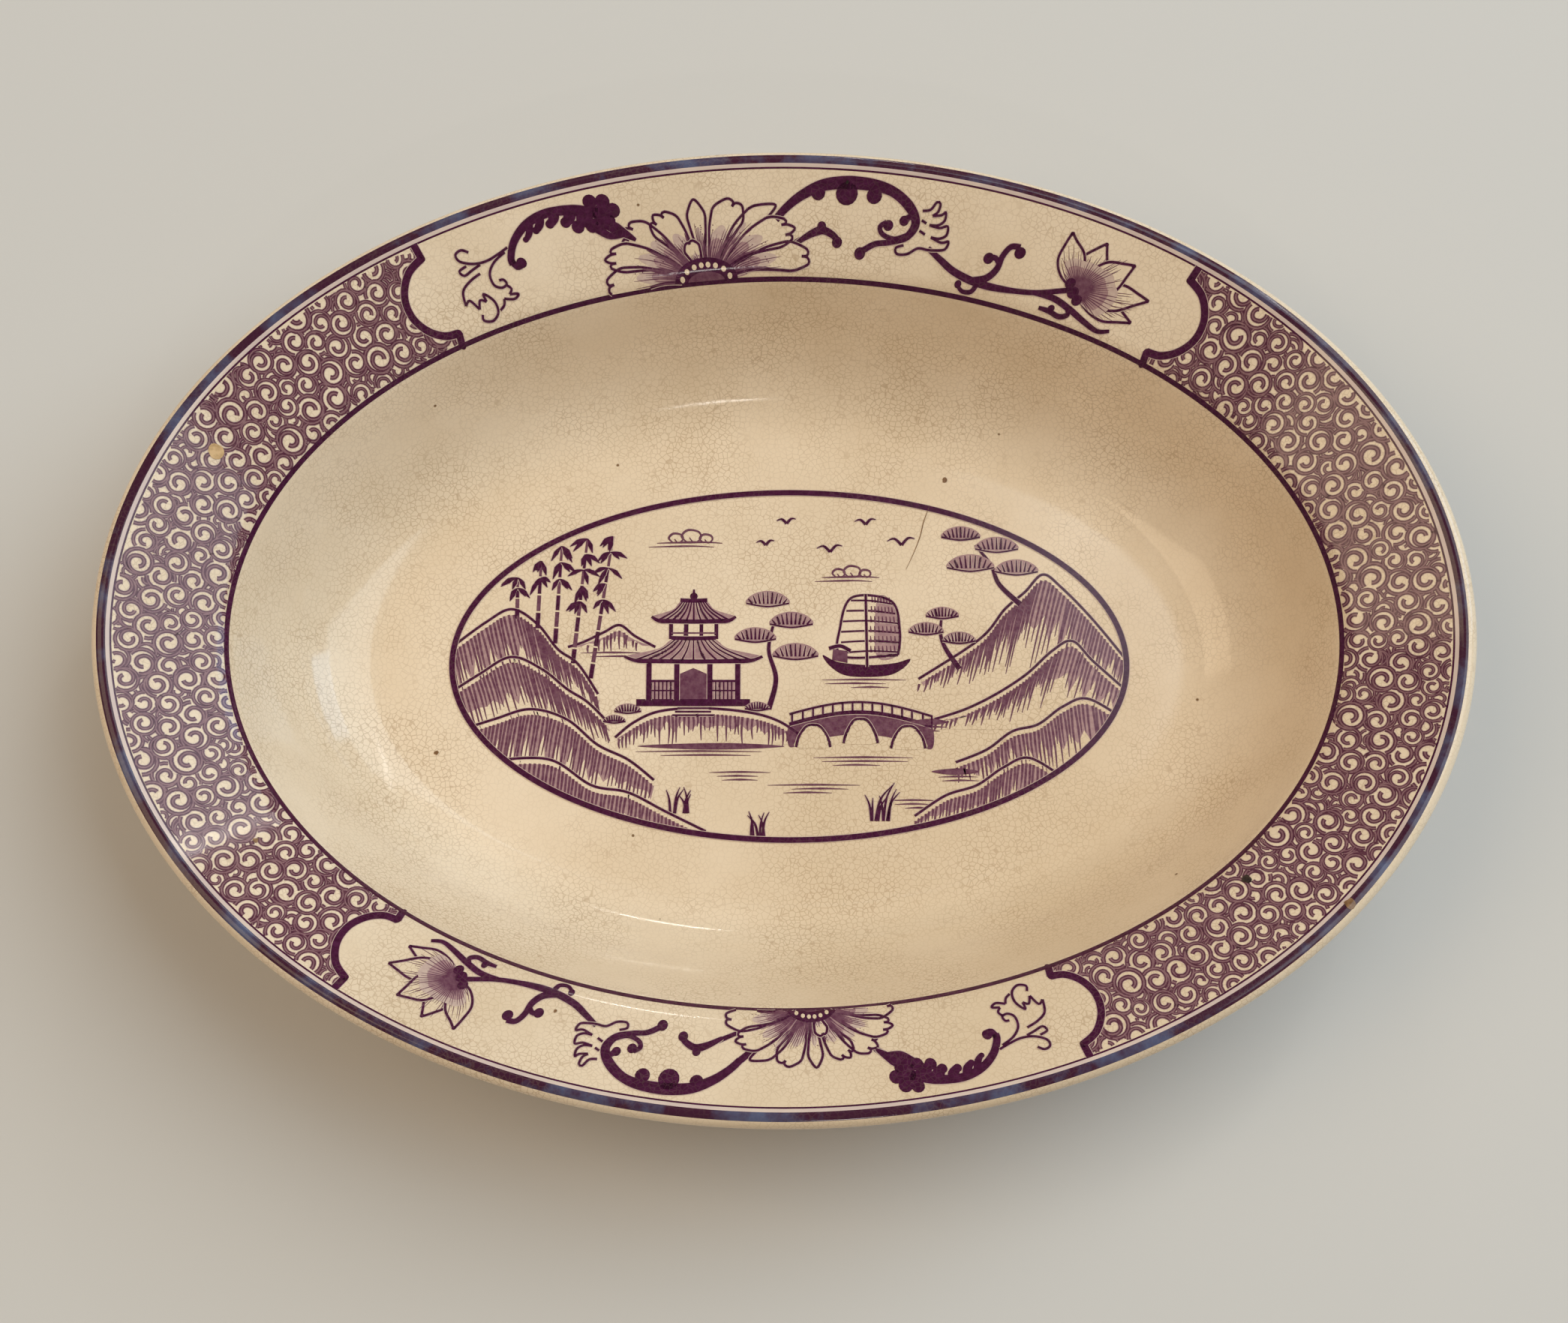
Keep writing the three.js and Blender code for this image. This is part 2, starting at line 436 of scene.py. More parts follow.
# a smooth line through a few points, at even short steps
def flow(points, closed=False):
    count = len(points)
    line = []
    for k in range(count if closed else count - 1):
        if closed:
            a, b, c, d = (points[(k + n) % count] for n in (-1, 0, 1, 2))
        else:
            a, b = points[max(k - 1, 0)], points[k]
            c, d = points[k + 1], points[min(k + 2, count - 1)]
        steps = max(2, math.ceil((c - b).length / printFilm["strokeStep"]))
        for n in range(steps):
            t = n / steps
            bent = (2 * a - 5 * b + 4 * c - d) * t * t + (3 * b - a - 3 * c + d) * t ** 3
            line.append(0.5 * (2 * b + (c - a) * t + bent))
    if not closed:
        line.append(points[-1])
    return line


def straight(points, closed=False):
    ends = points + points[:1] if closed else points
    line = []
    for a, b in zip(ends, ends[1:]):
        steps = max(1, math.ceil((b - a).length / (3 * printFilm["strokeStep"])))
        line += [a.lerp(b, n / steps) for n in range(steps)]
    return line if closed else line + [points[-1]]


def widthAlong(width, part):
    if not isinstance(width, (tuple, list)):
        return width
    spot = part * (len(width) - 1)
    k = min(int(spot), len(width) - 2)
    return width[k] + (width[k + 1] - width[k]) * (spot - k)


# a flat nib drawn along a curve gives a stroke its width
def nibObject():
    data = bpy.data.curves.new("nib", "CURVE")
    data.dimensions = "2D"
    spline = data.splines.new("POLY")
    spline.points.add(1)
    spline.points[0].co = (-0.5 * mm, 0, 0, 1)
    spline.points[1].co = (0.5 * mm, 0, 0, 1)
    nib = bpy.data.objects.new("nib", data)
    bpy.context.collection.objects.link(nib)
    return nib


def strokesToBmesh(bm, strokes, materialIndex, layer, film):
    nib = nibObject()
    data = bpy.data.curves.new("pen", "CURVE")
    data.dimensions = "3D"
    data.twist_mode = "Z_UP"
    data.bevel_mode = "OBJECT"
    data.bevel_object = nib
    for line, widths in strokes:
        spline = data.splines.new("POLY")
        spline.points.add(len(line) - 1)
        for spot, place, width in zip(spline.points, line, widths):
            spot.co = (place.x * mm, place.y * mm, 0, 1)
            spot.radius = width
    pen = bpy.data.objects.new("pen", data)
    bpy.context.collection.objects.link(pen)
    drawn = pen.evaluated_get(bpy.context.evaluated_depsgraph_get())
    mesh = bpy.data.meshes.new_from_object(drawn)
    addMesh(bm, mesh, materialIndex, layer, film)
    for thing in (pen, nib):
        bpy.data.objects.remove(thing)


def addMesh(bm, mesh, materialIndex, layer, film):
    known = len(bm.faces)
    bm.from_mesh(mesh)
    bm.faces.ensure_lookup_table()
    for face in bm.faces[known:]:
        face.material_index = materialIndex
        for v in face.verts:
            v[film] = layer
    bpy.data.meshes.remove(mesh)


def splitInside(line, inside):
    runs, run = [], []
    for spot in line:
        if inside(spot):
            run.append(spot)
        elif run:
            runs.append(run)
            run = []
    if run:
        runs.append(run)
    return [run for run in runs if len(run) > 1]


def layPage(name, page, toPlan=None, inside=None, hold=None, curved=True):
    toPlan = toPlan or (lambda spot: spot)
    bm = bmesh.new()
    film = bm.verts.layers.float.new("filmLayer")
    inkNames = {item[0] for item in page["strokes"] + page["patches"]}
    if inkNames & bleedingInks:
        inkNames.add("halo")
    inkNames = sorted(inkNames)
    grouped = {}
    for count, (ink, points, width, layer, flowing) in enumerate(page["strokes"]):
        line = flow(points) if flowing and len(points) > 2 else straight(points)
        widths = {id(spot): widthAlong(width, k / (len(line) - 1)) for k, spot in enumerate(line)}
        height = layer + count % printFilm["itemSteps"] / printFilm["itemSteps"]
        for run in splitInside(line, inside) if inside else [line]:
            drawn = [toPlan(spot) for spot in run]
            across = [widths[id(spot)] for spot in run]
            grouped.setdefault((ink, height), []).append((drawn, across))
            if ink in bleedingInks:
                spread = [w + printFilm["spread"] for w in across]
                grouped.setdefault(("halo", height - 1), []).append((drawn, spread))
    for (ink, height), strokes in sorted(grouped.items()):
        strokesToBmesh(bm, strokes, inkNames.index(ink), height, film)
    for count, (ink, points, layer, flowing) in enumerate(page["patches"]):
        line = flow(points, True) if flowing else straight(points, True)
        if hold:
            line = hold(line)
        line = [toPlan(spot) for spot in line]
        ring = [spot for k, spot in enumerate(line) if (spot - line[k - 1]).length > 0.01]
        height = layer + count % printFilm["itemSteps"] / printFilm["itemSteps"]
        fillOutline(bm, ring, inkNames.index(ink), height, film)
    if curved:
        shortenEdges(bm)
    layDown(bm, film)
    return finishPiece(name, bm, [inks[ink] for ink in inkNames])


def fillOutline(bm, ring, materialIndex, height, film):
    corners = [bm.verts.new((spot.x * mm, spot.y * mm, 0)) for spot in ring]
    for v in corners:
        v[film] = height
    outline = [bm.edges.new(pair) for pair in zip(corners, corners[1:] + corners[:1])]
    filled = bmesh.ops.triangle_fill(bm, use_beauty=True, edges=outline)
    for part in filled["geom"]:
        if isinstance(part, bmesh.types.BMFace):
            part.material_index = materialIndex


# long edges would cut through the curve at the rim's inner edge
def shortenEdges(bm):
    for _ in range(5):
        longEdges = [edge for edge in bm.edges if edge.calc_length() > printFilm["longestEdge"] * mm]
        if longEdges:
            bmesh.ops.subdivide_edges(bm, edges=longEdges, cuts=1, use_grid_fill=True)
            bmesh.ops.triangulate(bm, faces=[face for face in bm.faces if len(face.verts) > 4])


# drops a flat drawing straight down on the dish's face
def layDown(bm, film):
    for v in bm.verts:
        spot, normal, _, _ = glazeTree.ray_cast(Vector((v.co.x, v.co.y, 0.1)), Vector((0, 0, -1)))
        v.co = spot + normal * (printFilm["lift"] + printFilm["layerStep"] * v[film]) * mm
    for face in bm.faces:
        face.normal_update()
        if face.normal.z < 0:
            face.normal_flip()


# oval lines round the dish: half widths on the short axis, in mm, and how far in their two edges run at +X
ovalLines = {
    "edge_band": {"ink": "band", "outer": 91.35, "inner": 89.7, "drift": (0.7, 0.6), "layer": 1},
    "edge_wash": {"ink": "wash", "outer": 89.8, "inner": 88.95, "drift": (0.6, 0.6), "layer": 0},
    "edge_hairline": {"ink": "plum", "outer": 89.05, "inner": 88.72, "drift": (0.6, 0.6), "layer": 1},
    "rim_inner_line": {"ink": "plum", "outer": 70.7, "inner": 69.95, "drift": (0, 0), "layer": 3},
}


def endShare(turn):
    return max(0.0, math.cos(turn)) ** 4


def ovalLine(name, ink, outer, inner, drift, layer):
    strips = 6

    def drawIn(turn, reach):
        share = (reach - inner) / (outer - inner)
        return endShare(turn) * (drift[0] * share + drift[1] * (1 - share))

    bm = bmesh.new()
    film = bm.verts.layers.float.new("filmLayer")
    section = [Vector((inner + (outer - inner) * k / strips, 0)) for k in range(strips + 1)]
    spinSection(bm, section, False, drawIn)
    for v in bm.verts:
        v[film] = layer
    layDown(bm, film)
    finishPiece(name, bm, [inks[ink]])


for name, line in ovalLines.items():
    ovalLine(name, **line)
print("oval lines laid")

# places on the rim: along its middle line from the +X end, and across from the inner line
rimStrip = {"middle": 79.5, "start": 70.6, "width": 18.1, "margin": 0.3, "tableSteps": 1440}
rimTurns = [2 * math.pi * k / rimStrip["tableSteps"] for k in range(rimStrip["tableSteps"] + 1)]
rimLengths = [0.0]
for turnA, turnB in zip(rimTurns, rimTurns[1:]):
    rimLengths.append(
        rimLengths[-1] + (ovalPoint(turnB, rimStrip["middle"]) - ovalPoint(turnA, rimStrip["middle"])).length
    )


def rimTurn(along):
    along %= rimLengths[-1]
    k = max(1, bisect_left(rimLengths, along))
    part = (along - rimLengths[k - 1]) / (rimLengths[k] - rimLengths[k - 1])
    return rimTurns[k - 1] + (rimTurns[k] - rimTurns[k - 1]) * part


def rimAlong(turn):
    spot = (turn % (2 * math.pi)) / (2 * math.pi) * rimStrip["tableSteps"]
    k = min(int(spot), rimStrip["tableSteps"] - 1)
    return rimLengths[k] + (rimLengths[k + 1] - rimLengths[k]) * (spot - k)


# the oval level that a place in plan lies on
def reachAt(spot):
    low, high = 0.01, 200.0
    for _ in range(30):
        reach = (low + high) / 2
        outside = (spot.x / (dishShape["spine"] + endStretch * reach)) ** 2 + (spot.y / reach) ** 2 > 1
        low, high = (reach, high) if outside else (low, reach)
    return low


# the two cream reserves: where their flower stands, in degrees round the dish, and their length
reserves = {
    "far": {"turn": 98.2, "stretch": 1.0, "flowerSize": 1.0, "sink": 0.0},
    "near": {"turn": 272.7, "stretch": 0.9, "flowerSize": 0.87, "sink": 1.0},
}
# one end of a reserve's frame, from the hairline in to the inner line: (along, across)
frameEnd = {
    "notch": [(91.3, 18.2), (91.5, 15.7)],
    "bulge": [(91.5, 15.7), (95.0, 14.3), (98.0, 11.2), (99.2, 7.6), (98.4, 4.4), (96.2, 2.3), (93.4, 1.7)],
    "foot": [(93.4, 1.7), (94.2, -0.2)],
    "middle": 20.5,  # along, halfway to the other end, whose outline is this one's mirror image
    "width": 1.35,
}


def mirroredEnd(points):
    return [(2 * frameEnd["middle"] - x, y) for x, y in points]


def reserveMap(reserve):
    start = rimAlong(math.radians(reserve["turn"]))

    def toPlan(spot):
        turn = rimTurn(start - spot.x * reserve["stretch"])
        return ovalPoint(turn, rimStrip["start"] + spot.y)

    return toPlan


def frameReach(across):
    line = frameEnd["notch"] + frameEnd["bulge"][1:] + frameEnd["foot"][1:]
    for (x1, y1), (x2, y2) in zip(line, line[1:]):
        if y2 <= across <= y1:
            return x1 + (x2 - x1) * (across - y1) / (y2 - y1)
    return line[0][0] if across > line[0][1] else line[-1][0]


def inReserve(turn, across):
    for reserve in reserves.values():
        start = rimAlong(math.radians(reserve["turn"]))
        gap = (start - rimAlong(turn) + rimLengths[-1] / 2) % rimLengths[-1] - rimLengths[-1] / 2
        along = gap / reserve["stretch"]
        rightEnd = frameReach(across)
        leftEnd = 2 * frameEnd["middle"] - rightEnd
        if leftEnd < along < rightEnd:
            return True
    return False


for reserveName, reserve in reserves.items():
    page = newPage()
    for part in ("notch", "bulge", "foot"):
        for points in (frameEnd[part], mirroredEnd(frameEnd[part])):
            stroke(page, "plum", points, frameEnd["width"], 3)
            disc(page, "plum", points[-1], frameEnd["width"] / 2, 3)
    layPage("reserve_frame_" + reserveName, page, reserveMap(reserve))
print("reserve frames laid")

# the scroll ground: curls that lie over one another on the rest of the rim
scrollGround = {
    "count": 650,  # round the whole rim, before those in the reserves are dropped
    "smallest": 1.65,  # radius of a curl's outer turn, at the middle of its line
    "largest": 2.7,
    "overlap": 0.2,  # of two curls' lines, where they are packed close
    "rounds": 80,
    "push": 0.25,  # part of an overlap that a round takes away
    "fillers": 12000,  # tries at finding a gap, which is then filled from behind
    "fillerGap": 1.5,
    "fillerAside": 1.3,
    "fillerSizes": (1.7, 2.1),
    "lineWidth": 0.325,  # of the line and of its pale heart, in parts of the curl's radius
    "heartWidth": 0.11,
    "hookTurn": 1.05,  # turns that the line makes inside its first one
    "hookStart": 0.55,  # turns in which it comes in, and how far, in parts of the radius
    "hookDepth": 0.57,
    "hookWind": 0.06,
    "steps": 40,
}


def randomOnRim(along):
    reach = rimStrip["start"] + random.uniform(rimStrip["margin"], rimStrip["width"] - rimStrip["margin"])
    return ovalPoint(rimTurn(along * rimLengths[-1]), reach)


def curlTree(curls):
    tree = KDTree(len(curls))
    for k, (centre, _) in enumerate(curls):
        tree.insert(centre.to_3d(), k)
    tree.balance()
    return tree


# curls start all round the rim and push one another apart
def packCurls():
    count = scrollGround["count"]
    curls = []
    for k in range(count):
        radius = random.triangular(scrollGround["smallest"], scrollGround["largest"])
        curls.append([randomOnRim((k + random.random()) / count), radius])
    for _ in range(scrollGround["rounds"]):
        tree = curlTree(curls)
        for k, curl in enumerate(curls):
            shift = Vector((0, 0))
            for place, other, gap in tree.find_range(curl[0].to_3d(), 2 * scrollGround["largest"]):
                wanted = curl[1] + curls[other][1] - scrollGround["overlap"]
                if other != k and gap < wanted:
                    away = (curl[0] - place.to_2d()).normalized()
                    shift += away * (wanted - gap) * scrollGround["push"]
            curl[0] = keepOnRim(curl[0] + shift)
    random.shuffle(curls)
    return curls


def keepOnRim(spot):
    reach = reachAt(spot)
    innermost = rimStrip["start"] + rimStrip["margin"]
    outermost = rimStrip["start"] + rimStrip["width"] - rimStrip["margin"]
    kept = min(max(reach, innermost), outermost)
    return ovalPoint(turnAt(spot, reach), kept) if kept != reach else spot


# curls that show only through the gaps between the others
def fillGaps(curls):
    tree = curlTree(curls)
    fillers = []
    for _ in range(scrollGround["fillers"]):
        spot = randomOnRim(random.random())
        near = [curls[k] for _, k, _ in tree.find_range(spot.to_3d(), scrollGround["largest"] + 1)]
        covered = any((spot - centre).length < radius + 0.3 for centre, radius in near)
        if not covered and all((spot - centre).length > scrollGround["fillerGap"] for centre, _ in fillers):
            aside = heading(random.uniform(0, 2 * math.pi)) * scrollGround["fillerAside"]
            fillers.append([spot + aside, random.uniform(*scrollGround["fillerSizes"])])
    return fillers


# one full turn, then a hook that winds in round a cream middle
def curlLine(centre, radius):
    way = random.choice((1, -1, -1))
    first = random.uniform(0, 2 * math.pi)
    line = []
    for k in range(scrollGround["steps"] + 1):
        turns = (1 + scrollGround["hookTurn"]) * k / scrollGround["steps"]
        inward = min(1.0, max(0.0, turns - 1) / scrollGround["hookStart"])
        wound = max(0.0, turns - 1 - scrollGround["hookStart"])
        reach = radius * (1 - scrollGround["hookDepth"] * inward - scrollGround["hookWind"] * wound)
        line.append(centre + heading(first + way * 2 * math.pi * turns) * reach)
    return line


def turnAt(spot, reach):
    return math.atan2(spot.y / reach, spot.x / (dishShape["spine"] + endStretch * reach))


def onScrollGround(spot):
    reach = reachAt(spot)
    turn = turnAt(spot, reach)
    across = reach - rimStrip["start"]
    if not 0 < across < rimStrip["width"] - ovalLines["edge_hairline"]["drift"][0] * endShare(turn):
        return False
    return not inReserve(turn, across)


curls = packCurls()
curls += fillGaps(curls)
tree = curlTree(curls)
pages = {"left": newPage(), "right": newPage()}
for k, (centre, radius) in enumerate(curls):
    page = pages["left" if centre.x < 0 else "right"]
    close = tree.find_range(centre.to_3d(), 2 * scrollGround["largest"])
    infront = [curls[other] for _, other, _ in close if other < k]

    def shows(spot):
        hidden = any((spot - place).length < size for place, size in infront)
        return not hidden and onScrollGround(spot)

    for run in splitInside(curlLine(centre, radius), shows):
        stroke(page, "scrollEdge", run, scrollGround["lineWidth"] * radius, 0, False)
        stroke(page, "scrollHeart", run, scrollGround["heartWidth"] * radius, 1, False)
for side, page in pages.items():
    layPage("scroll_ground_" + side, page, curved=False)
print("scroll ground laid:", [len(page["strokes"]) for page in pages.values()])

# petals and leaves that the sprays and the scene share
penWidths = {"outline": 0.46, "hatch": (0.3, 0.2, 0.05)}


def fineLine(page, points, layer=8, width=None):
    stroke(page, "plum", points, width or penWidths["outline"], layer)


def mark(page, points, width, layer=7):
    stroke(page, "plum", points, width, layer)


def knobs(page, places, layer=7):
    for x, y, size in places:
        disc(page, "plum", (x, y), size, layer)


# places on a petal: along its bent middle line, and across it in parts of its breadth
def petalFrame(root, tip, breadth, sag):
    root, tip = Vector(root), Vector(tip)
    ahead = tip - root
    side = Vector((-ahead.y, ahead.x)).normalized()

    def at(along, across):
        bow = sag * 4 * along * (1 - along)
        return root + ahead * along + side * (across * breadth + bow)

    return at


def hatchPetal(page, at, layer, far, count):
    for k in range(count):
        v = -0.36 + 0.72 * k / (count - 1)
        reach = far * random.uniform(0.55, 1.15) * (1 - 0.6 * v * v)
        line = [at(0.06, v * 0.3), at(reach * 0.5, v * 0.72), at(reach, v * 0.95)]
        stroke(page, "mauve", line, penWidths["hatch"], layer)


def shadePetal(page, ink, at, layer, far):
    tone = [at(0, -0.1), at(far * 0.5, -0.3), at(far * 0.9, -0.16), at(far, 0.02)]
    tone += [at(far * 0.85, 0.18), at(far * 0.5, 0.3), at(0, 0.1)]
    patch(page, ink, tone, layer)


# dots of shading
def stipplePetal(page, at, layer, count):
    for _ in range(count):
        disc(page, "mauve", at(random.uniform(0.25, 0.68), random.uniform(-0.3, 0.3)), 0.12, layer, 6)


def frilledPetal(page, root, tip, breadth, lobes, sag, layer):
    at = petalFrame(root, tip, breadth, sag)

    def end(across, bulge):
        return at(0.8 + 0.16 * math.cos(math.pi * across) + bulge, across)

    left = [at(0, -0.08), at(0.3, -0.22), at(0.55, -0.38), end(-0.5, 0)]
    right = [end(0.5, 0), at(0.55, 0.38), at(0.3, 0.22), at(0, 0.08)]
    scallops = []
    for k in range(lobes):
        a, b = (-0.5 + n / lobes for n in (k, k + 1))
        bulges = ((0.0, 0.0), (0.08, 0.07), (0.5, 0.12), (0.92, 0.07), (1.0, 0.0))
        scallops.append([end(a + (b - a) * part, bulge) for part, bulge in bulges])
    edge = [spot for scallop in scallops for spot in scallop[:-1]]
    patch(page, "cream", left[:-1] + edge + right, layer)
    shadePetal(page, "halo", at, layer + 1, 0.66)
    shadePetal(page, "pale", at, layer + 2, 0.46)
    stipplePetal(page, at, layer + 3, 8)
    hatchPetal(page, at, layer + 3, 0.66, 9)
    stroke(page, "mauve", [at(0.02, -0.05), at(0.3, -0.16), at(0.56, -0.32)], (0.9, 0.7, 0.1), layer + 3)
    for line in [left, right] + scallops:
        fineLine(page, line, layer + 3)


def pointedPetal(page, root, tip, breadth, sag, layer):
    at = petalFrame(root, tip, breadth, sag)
    left = [at(0, -0.06), at(0.3, -0.38), at(0.6, -0.44), at(0.85, -0.17), at(1, 0)]
    right = [at(1, 0), at(0.84, 0.2), at(0.6, 0.44), at(0.3, 0.38), at(0, 0.06)]
    patch(page, "cream", left + right[1:], layer)
    hatchPetal(page, at, layer + 2, 0.84, 9)
    fineLine(page, left, layer + 2)
    fineLine(page, right, layer + 2)
    disc(page, "plum", at(0.98, 0), 0.4, layer + 2, 8)


# the half flower that grows out of the inner line: tip, breadth, scallops and sag of each petal
bigFlower = {
    "behind": [
        ((-13.8, 9.6), 6.2, 3, -0.5),
        ((-7.6, 11.2), 5.6, 3, -0.5),
        ((6.8, 12.4), 6.0, 2, 0.5),
        ((13.4, 11.6), 3.4, 1, 1.4),
        ((-0.4, 12.8), 3.4, 1, 0.0),
    ],
    "inFront": [
        ((-18.0, 5.8), 5.0, 3, -1.0),
        ((-19.6, 1.4), 4.6, 2, -0.8),
        ((17.0, 8.0), 5.6, 3, 1.1),
        ((20.4, 3.4), 5.0, 2, 0.9),
        ((-2.4, 6.4), 3.2, 2, 0.0),
    ],
    # half sizes of the dark heart, the ring of beads on it and the pale middle
    "heart": (6.6, 4.1),
    "beadRing": (5.1, 2.75),
    "middle": (3.9, 1.7),
    "beads": 8,
    "beadRadius": 0.5,
}


def halfOval(halfSizes):
    turns = [math.pi * k / 16 for k in range(17)]
    return [(halfSizes[0] * math.cos(a), -0.3 + halfSizes[1] * math.sin(a)) for a in turns]


def drawBigFlower(page):
    for layer, row in ((2, bigFlower["behind"]), (6, bigFlower["inFront"])):
        for tip, breadth, lobes, sag in row:
            root = Vector((tip[0] * 0.2, min(tip[1] * 0.2, 1.6)))
            frilledPetal(page, root, tip, breadth, lobes, sag, layer)
    patch(page, "plum", halfOval(bigFlower["heart"]), 10, False)
    long, tall = bigFlower["beadRing"]
    for k in range(bigFlower["beads"]):
        a = math.pi * (k + 0.5) / bigFlower["beads"]
        spread = a + 0.16 * math.sin(2 * a)  # evens the beads out along the flattened arc
        bead = (long * math.cos(spread), -0.2 + tall * math.sin(spread))
        disc(page, "cream", bead, bigFlower["beadRadius"], 11, 10)
    patch(page, "mauve", halfOval(bigFlower["middle"]), 11, False)


def drawAcanthusArm(page):
    # the start lies behind the flower
    mark(page, [(-8.6, 5.6), (-11.4, 7.4), (-14.0, 9.4)], (0.6, 1.0, 1.3), 1)
    mark(page, [(-12.4, 8.2), (-15.4, 10.6), (-18.4, 12.8)], (0.5, 2.0, 1.8))
    mark(page, [(-14.2, 9.2), (-17.0, 9.7), (-19.0, 11.4)], (0.3, 1.2, 1.6))
    arm = [(-18, 13.8), (-22.5, 15.3), (-27, 15.8), (-31, 14.9), (-34.2, 12.8), (-36, 10.4), (-36.2, 9.2)]
    mark(page, arm, (1.8, 1.9, 1.6, 1.6, 1.5, 1.4, 1.3))
    knobs(page, [(-18.8, 16.0, 1.25), (-16.6, 15.6, 1.3), (-15.2, 13.8, 1.3), (-17.4, 13.6, 1.6)])
    knobs(page, [(-20.6, 13.4, 1.5), (-22.2, 12.3, 1.15), (-19.6, 12.0, 1.3), (-16.2, 12.2, 1.0)])
    for x, y, size in ((-23.8, 13.2, 1.3), (-26.6, 13.6, 1.1), (-29.4, 13.2, 0.9), (-31.8, 12.2, 0.7)):
        tooth = [(x + 1.5, y + 2.7), (x + 0.7, y + 1.1), (x - 0.3, y + 0.2)]
        mark(page, tooth, (1.4, 1.9 * size, 1.2 * size))
        knobs(page, [(x - 0.3, y + 0.3, 0.72 * size)])
    mark(page, [(-36.2, 9.8), (-35.7, 8.6), (-34.8, 8.6)], 1.1)
    knobs(page, [(-34.6, 9.0, 0.95)])
    # a thin stem that forks into a curl and a cut leaf
    fineLine(page, [
        (-35.8, 12.2), (-38, 11.6), (-40.4, 11.2), (-42.8, 11.5),
        (-44.8, 12.7), (-44.9, 14.0), (-43.6, 14.4), (-42.6, 13.6),
    ])
    fineLine(page, [(-44.2, 11.6), (-45.8, 11.2), (-45.4, 10.2), (-43.6, 10.6), (-41.8, 11.0)])
    fineLine(page, [
        (-36.6, 11.6), (-39.2, 10.6), (-41.0, 9.0), (-41.3, 7.0),
        (-40.2, 6.1), (-39.0, 6.4), (-39.2, 7.3), (-40.0, 7.4),
    ])
    for tooth in (
        [(-42.6, 9.6), (-45.0, 9.0), (-47.2, 7.8), (-48.2, 5.4)],
        [(-48.2, 5.4), (-47.0, 6.0), (-46.2, 4.0)],
        [(-46.2, 4.0), (-45.2, 5.4), (-44.2, 4.8)],
        [(-44.2, 4.8), (-44.0, 6.2), (-42.8, 4.4), (-43.2, 2.4), (-45.0, 1.4), (-46.6, 2.0), (-46.2, 3.0)],
        [(-39.2, 6.3), (-38.6, 5.4), (-39.4, 4.6)],
        [(-39.4, 4.6), (-37.8, 4.2), (-39.0, 3.6), (-40.8, 4.2)],
        [(-40.8, 4.2), (-41.4, 3.2), (-42.6, 2.6)],
    ):
        fineLine(page, tooth)


def drawScrollArm(page):
    mark(page, [(12.8, 3.4), (16.0, 4.6), (19.4, 6.2)], (0.6, 0.8, 1.0), 1)
    mark(page, [(18.6, 5.6), (21.4, 7.2), (23.6, 7.9), (25.6, 7.2), (26.8, 6.2)], (0.7, 1.1, 1.5, 1.3, 1.1))
    knobs(page, [(23.4, 8.6, 0.85), (26.6, 6.0, 1.0)])
    mark(page, [(9.4, 5.8), (12.2, 7.6), (15.0, 10.0)], (1.0, 1.2, 1.3), 1)
    arm = [(14.6, 9.6), (16.6, 11.6), (19.6, 13.8), (23.6, 15.6), (29.3, 16.2), (35.0, 15.6), (39.0, 13.4)]
    arm += [(41.0, 10.6), (39.8, 8.0), (36.8, 6.8), (34.0, 6.2), (31.8, 4.9)]
    mark(page, arm, (1.3, 1.5, 1.8, 2.1, 2.3, 2.1, 1.8, 1.9, 1.6, 1.1, 1.0, 1.1))
    knobs(page, [(31.3, 4.4, 1.1), (22.4, 14.2, 1.3), (27.6, 14.3, 2.0), (32.6, 14.3, 1.4)])
    knobs(page, [(36.0, 9.6, 0.95), (38.8, 10.7, 0.9)])
    mark(page, [(40.2, 8.3), (37.6, 7.4), (35.2, 8.0), (34.5, 9.2), (35.6, 10.1)], (1.3, 1.0, 0.9, 0.9, 0.9))
    mark(page, [(41.0, 12.0), (39.6, 11.4), (38.8, 10.7)], 1.1)
    # a pale cut leaf at the back of the scroll
    for tooth in (
        [(41.8, 12.8), (43.2, 13.2), (44.0, 14.6), (44.7, 14.4), (44.6, 13.0), (43.8, 12.2)],
        [(43.8, 12.2), (45.4, 12.6), (46.0, 13.2), (46.2, 11.8), (45.2, 10.8), (43.6, 10.6)],
        [(43.6, 10.6), (45.6, 10.4), (47.0, 10.9), (47.2, 9.4), (46.0, 8.6), (44.4, 8.6)],
        [(44.4, 8.6), (46.6, 8.0), (47.9, 8.4), (47.6, 7.0), (45.6, 6.5), (44.2, 6.4)],
        [(44.2, 6.4), (42.4, 6.4), (40.6, 5.2), (38.6, 5.0), (38.2, 6.0), (39.6, 6.6)],
        [(42.0, 11.2), (43.0, 10.8)],
        [(42.0, 9.4), (43.2, 8.9)],
    ):
        fineLine(page, tooth)


# the lotus bud: tip, breadth, sag and layer of its petals, which grow out of one shaded cup
lotusBud = {
    "root": (74.6, 6.2),
    "petals": [
        ((75.4, 15.4), 5.4, 0.0, 2),
        ((87.2, 4.8), 4.2, -0.5, 2),
        ((69.0, 15.2), 5.2, 0.7, 5),
        ((87.6, 9.4), 5.4, -0.4, 5),
        ((81.8, 13.8), 6.4, -0.3, 7),
    ],
    # the cup's edge, in degrees and mm from the root
    "cup": [
        (-44, 2.4), (-26, 6.0), (-8, 7.0), (14, 7.2), (30, 6.4), (46, 6.2), (66, 5.2), (85, 5.0), (104, 5.0),
        (122, 5.6), (140, 5.4), (158, 2.4),
    ],
    "tones": {"halo": 1.06, "pale": 0.82},  # inks of its shading and how far out they go
    "cupLines": 40,
}


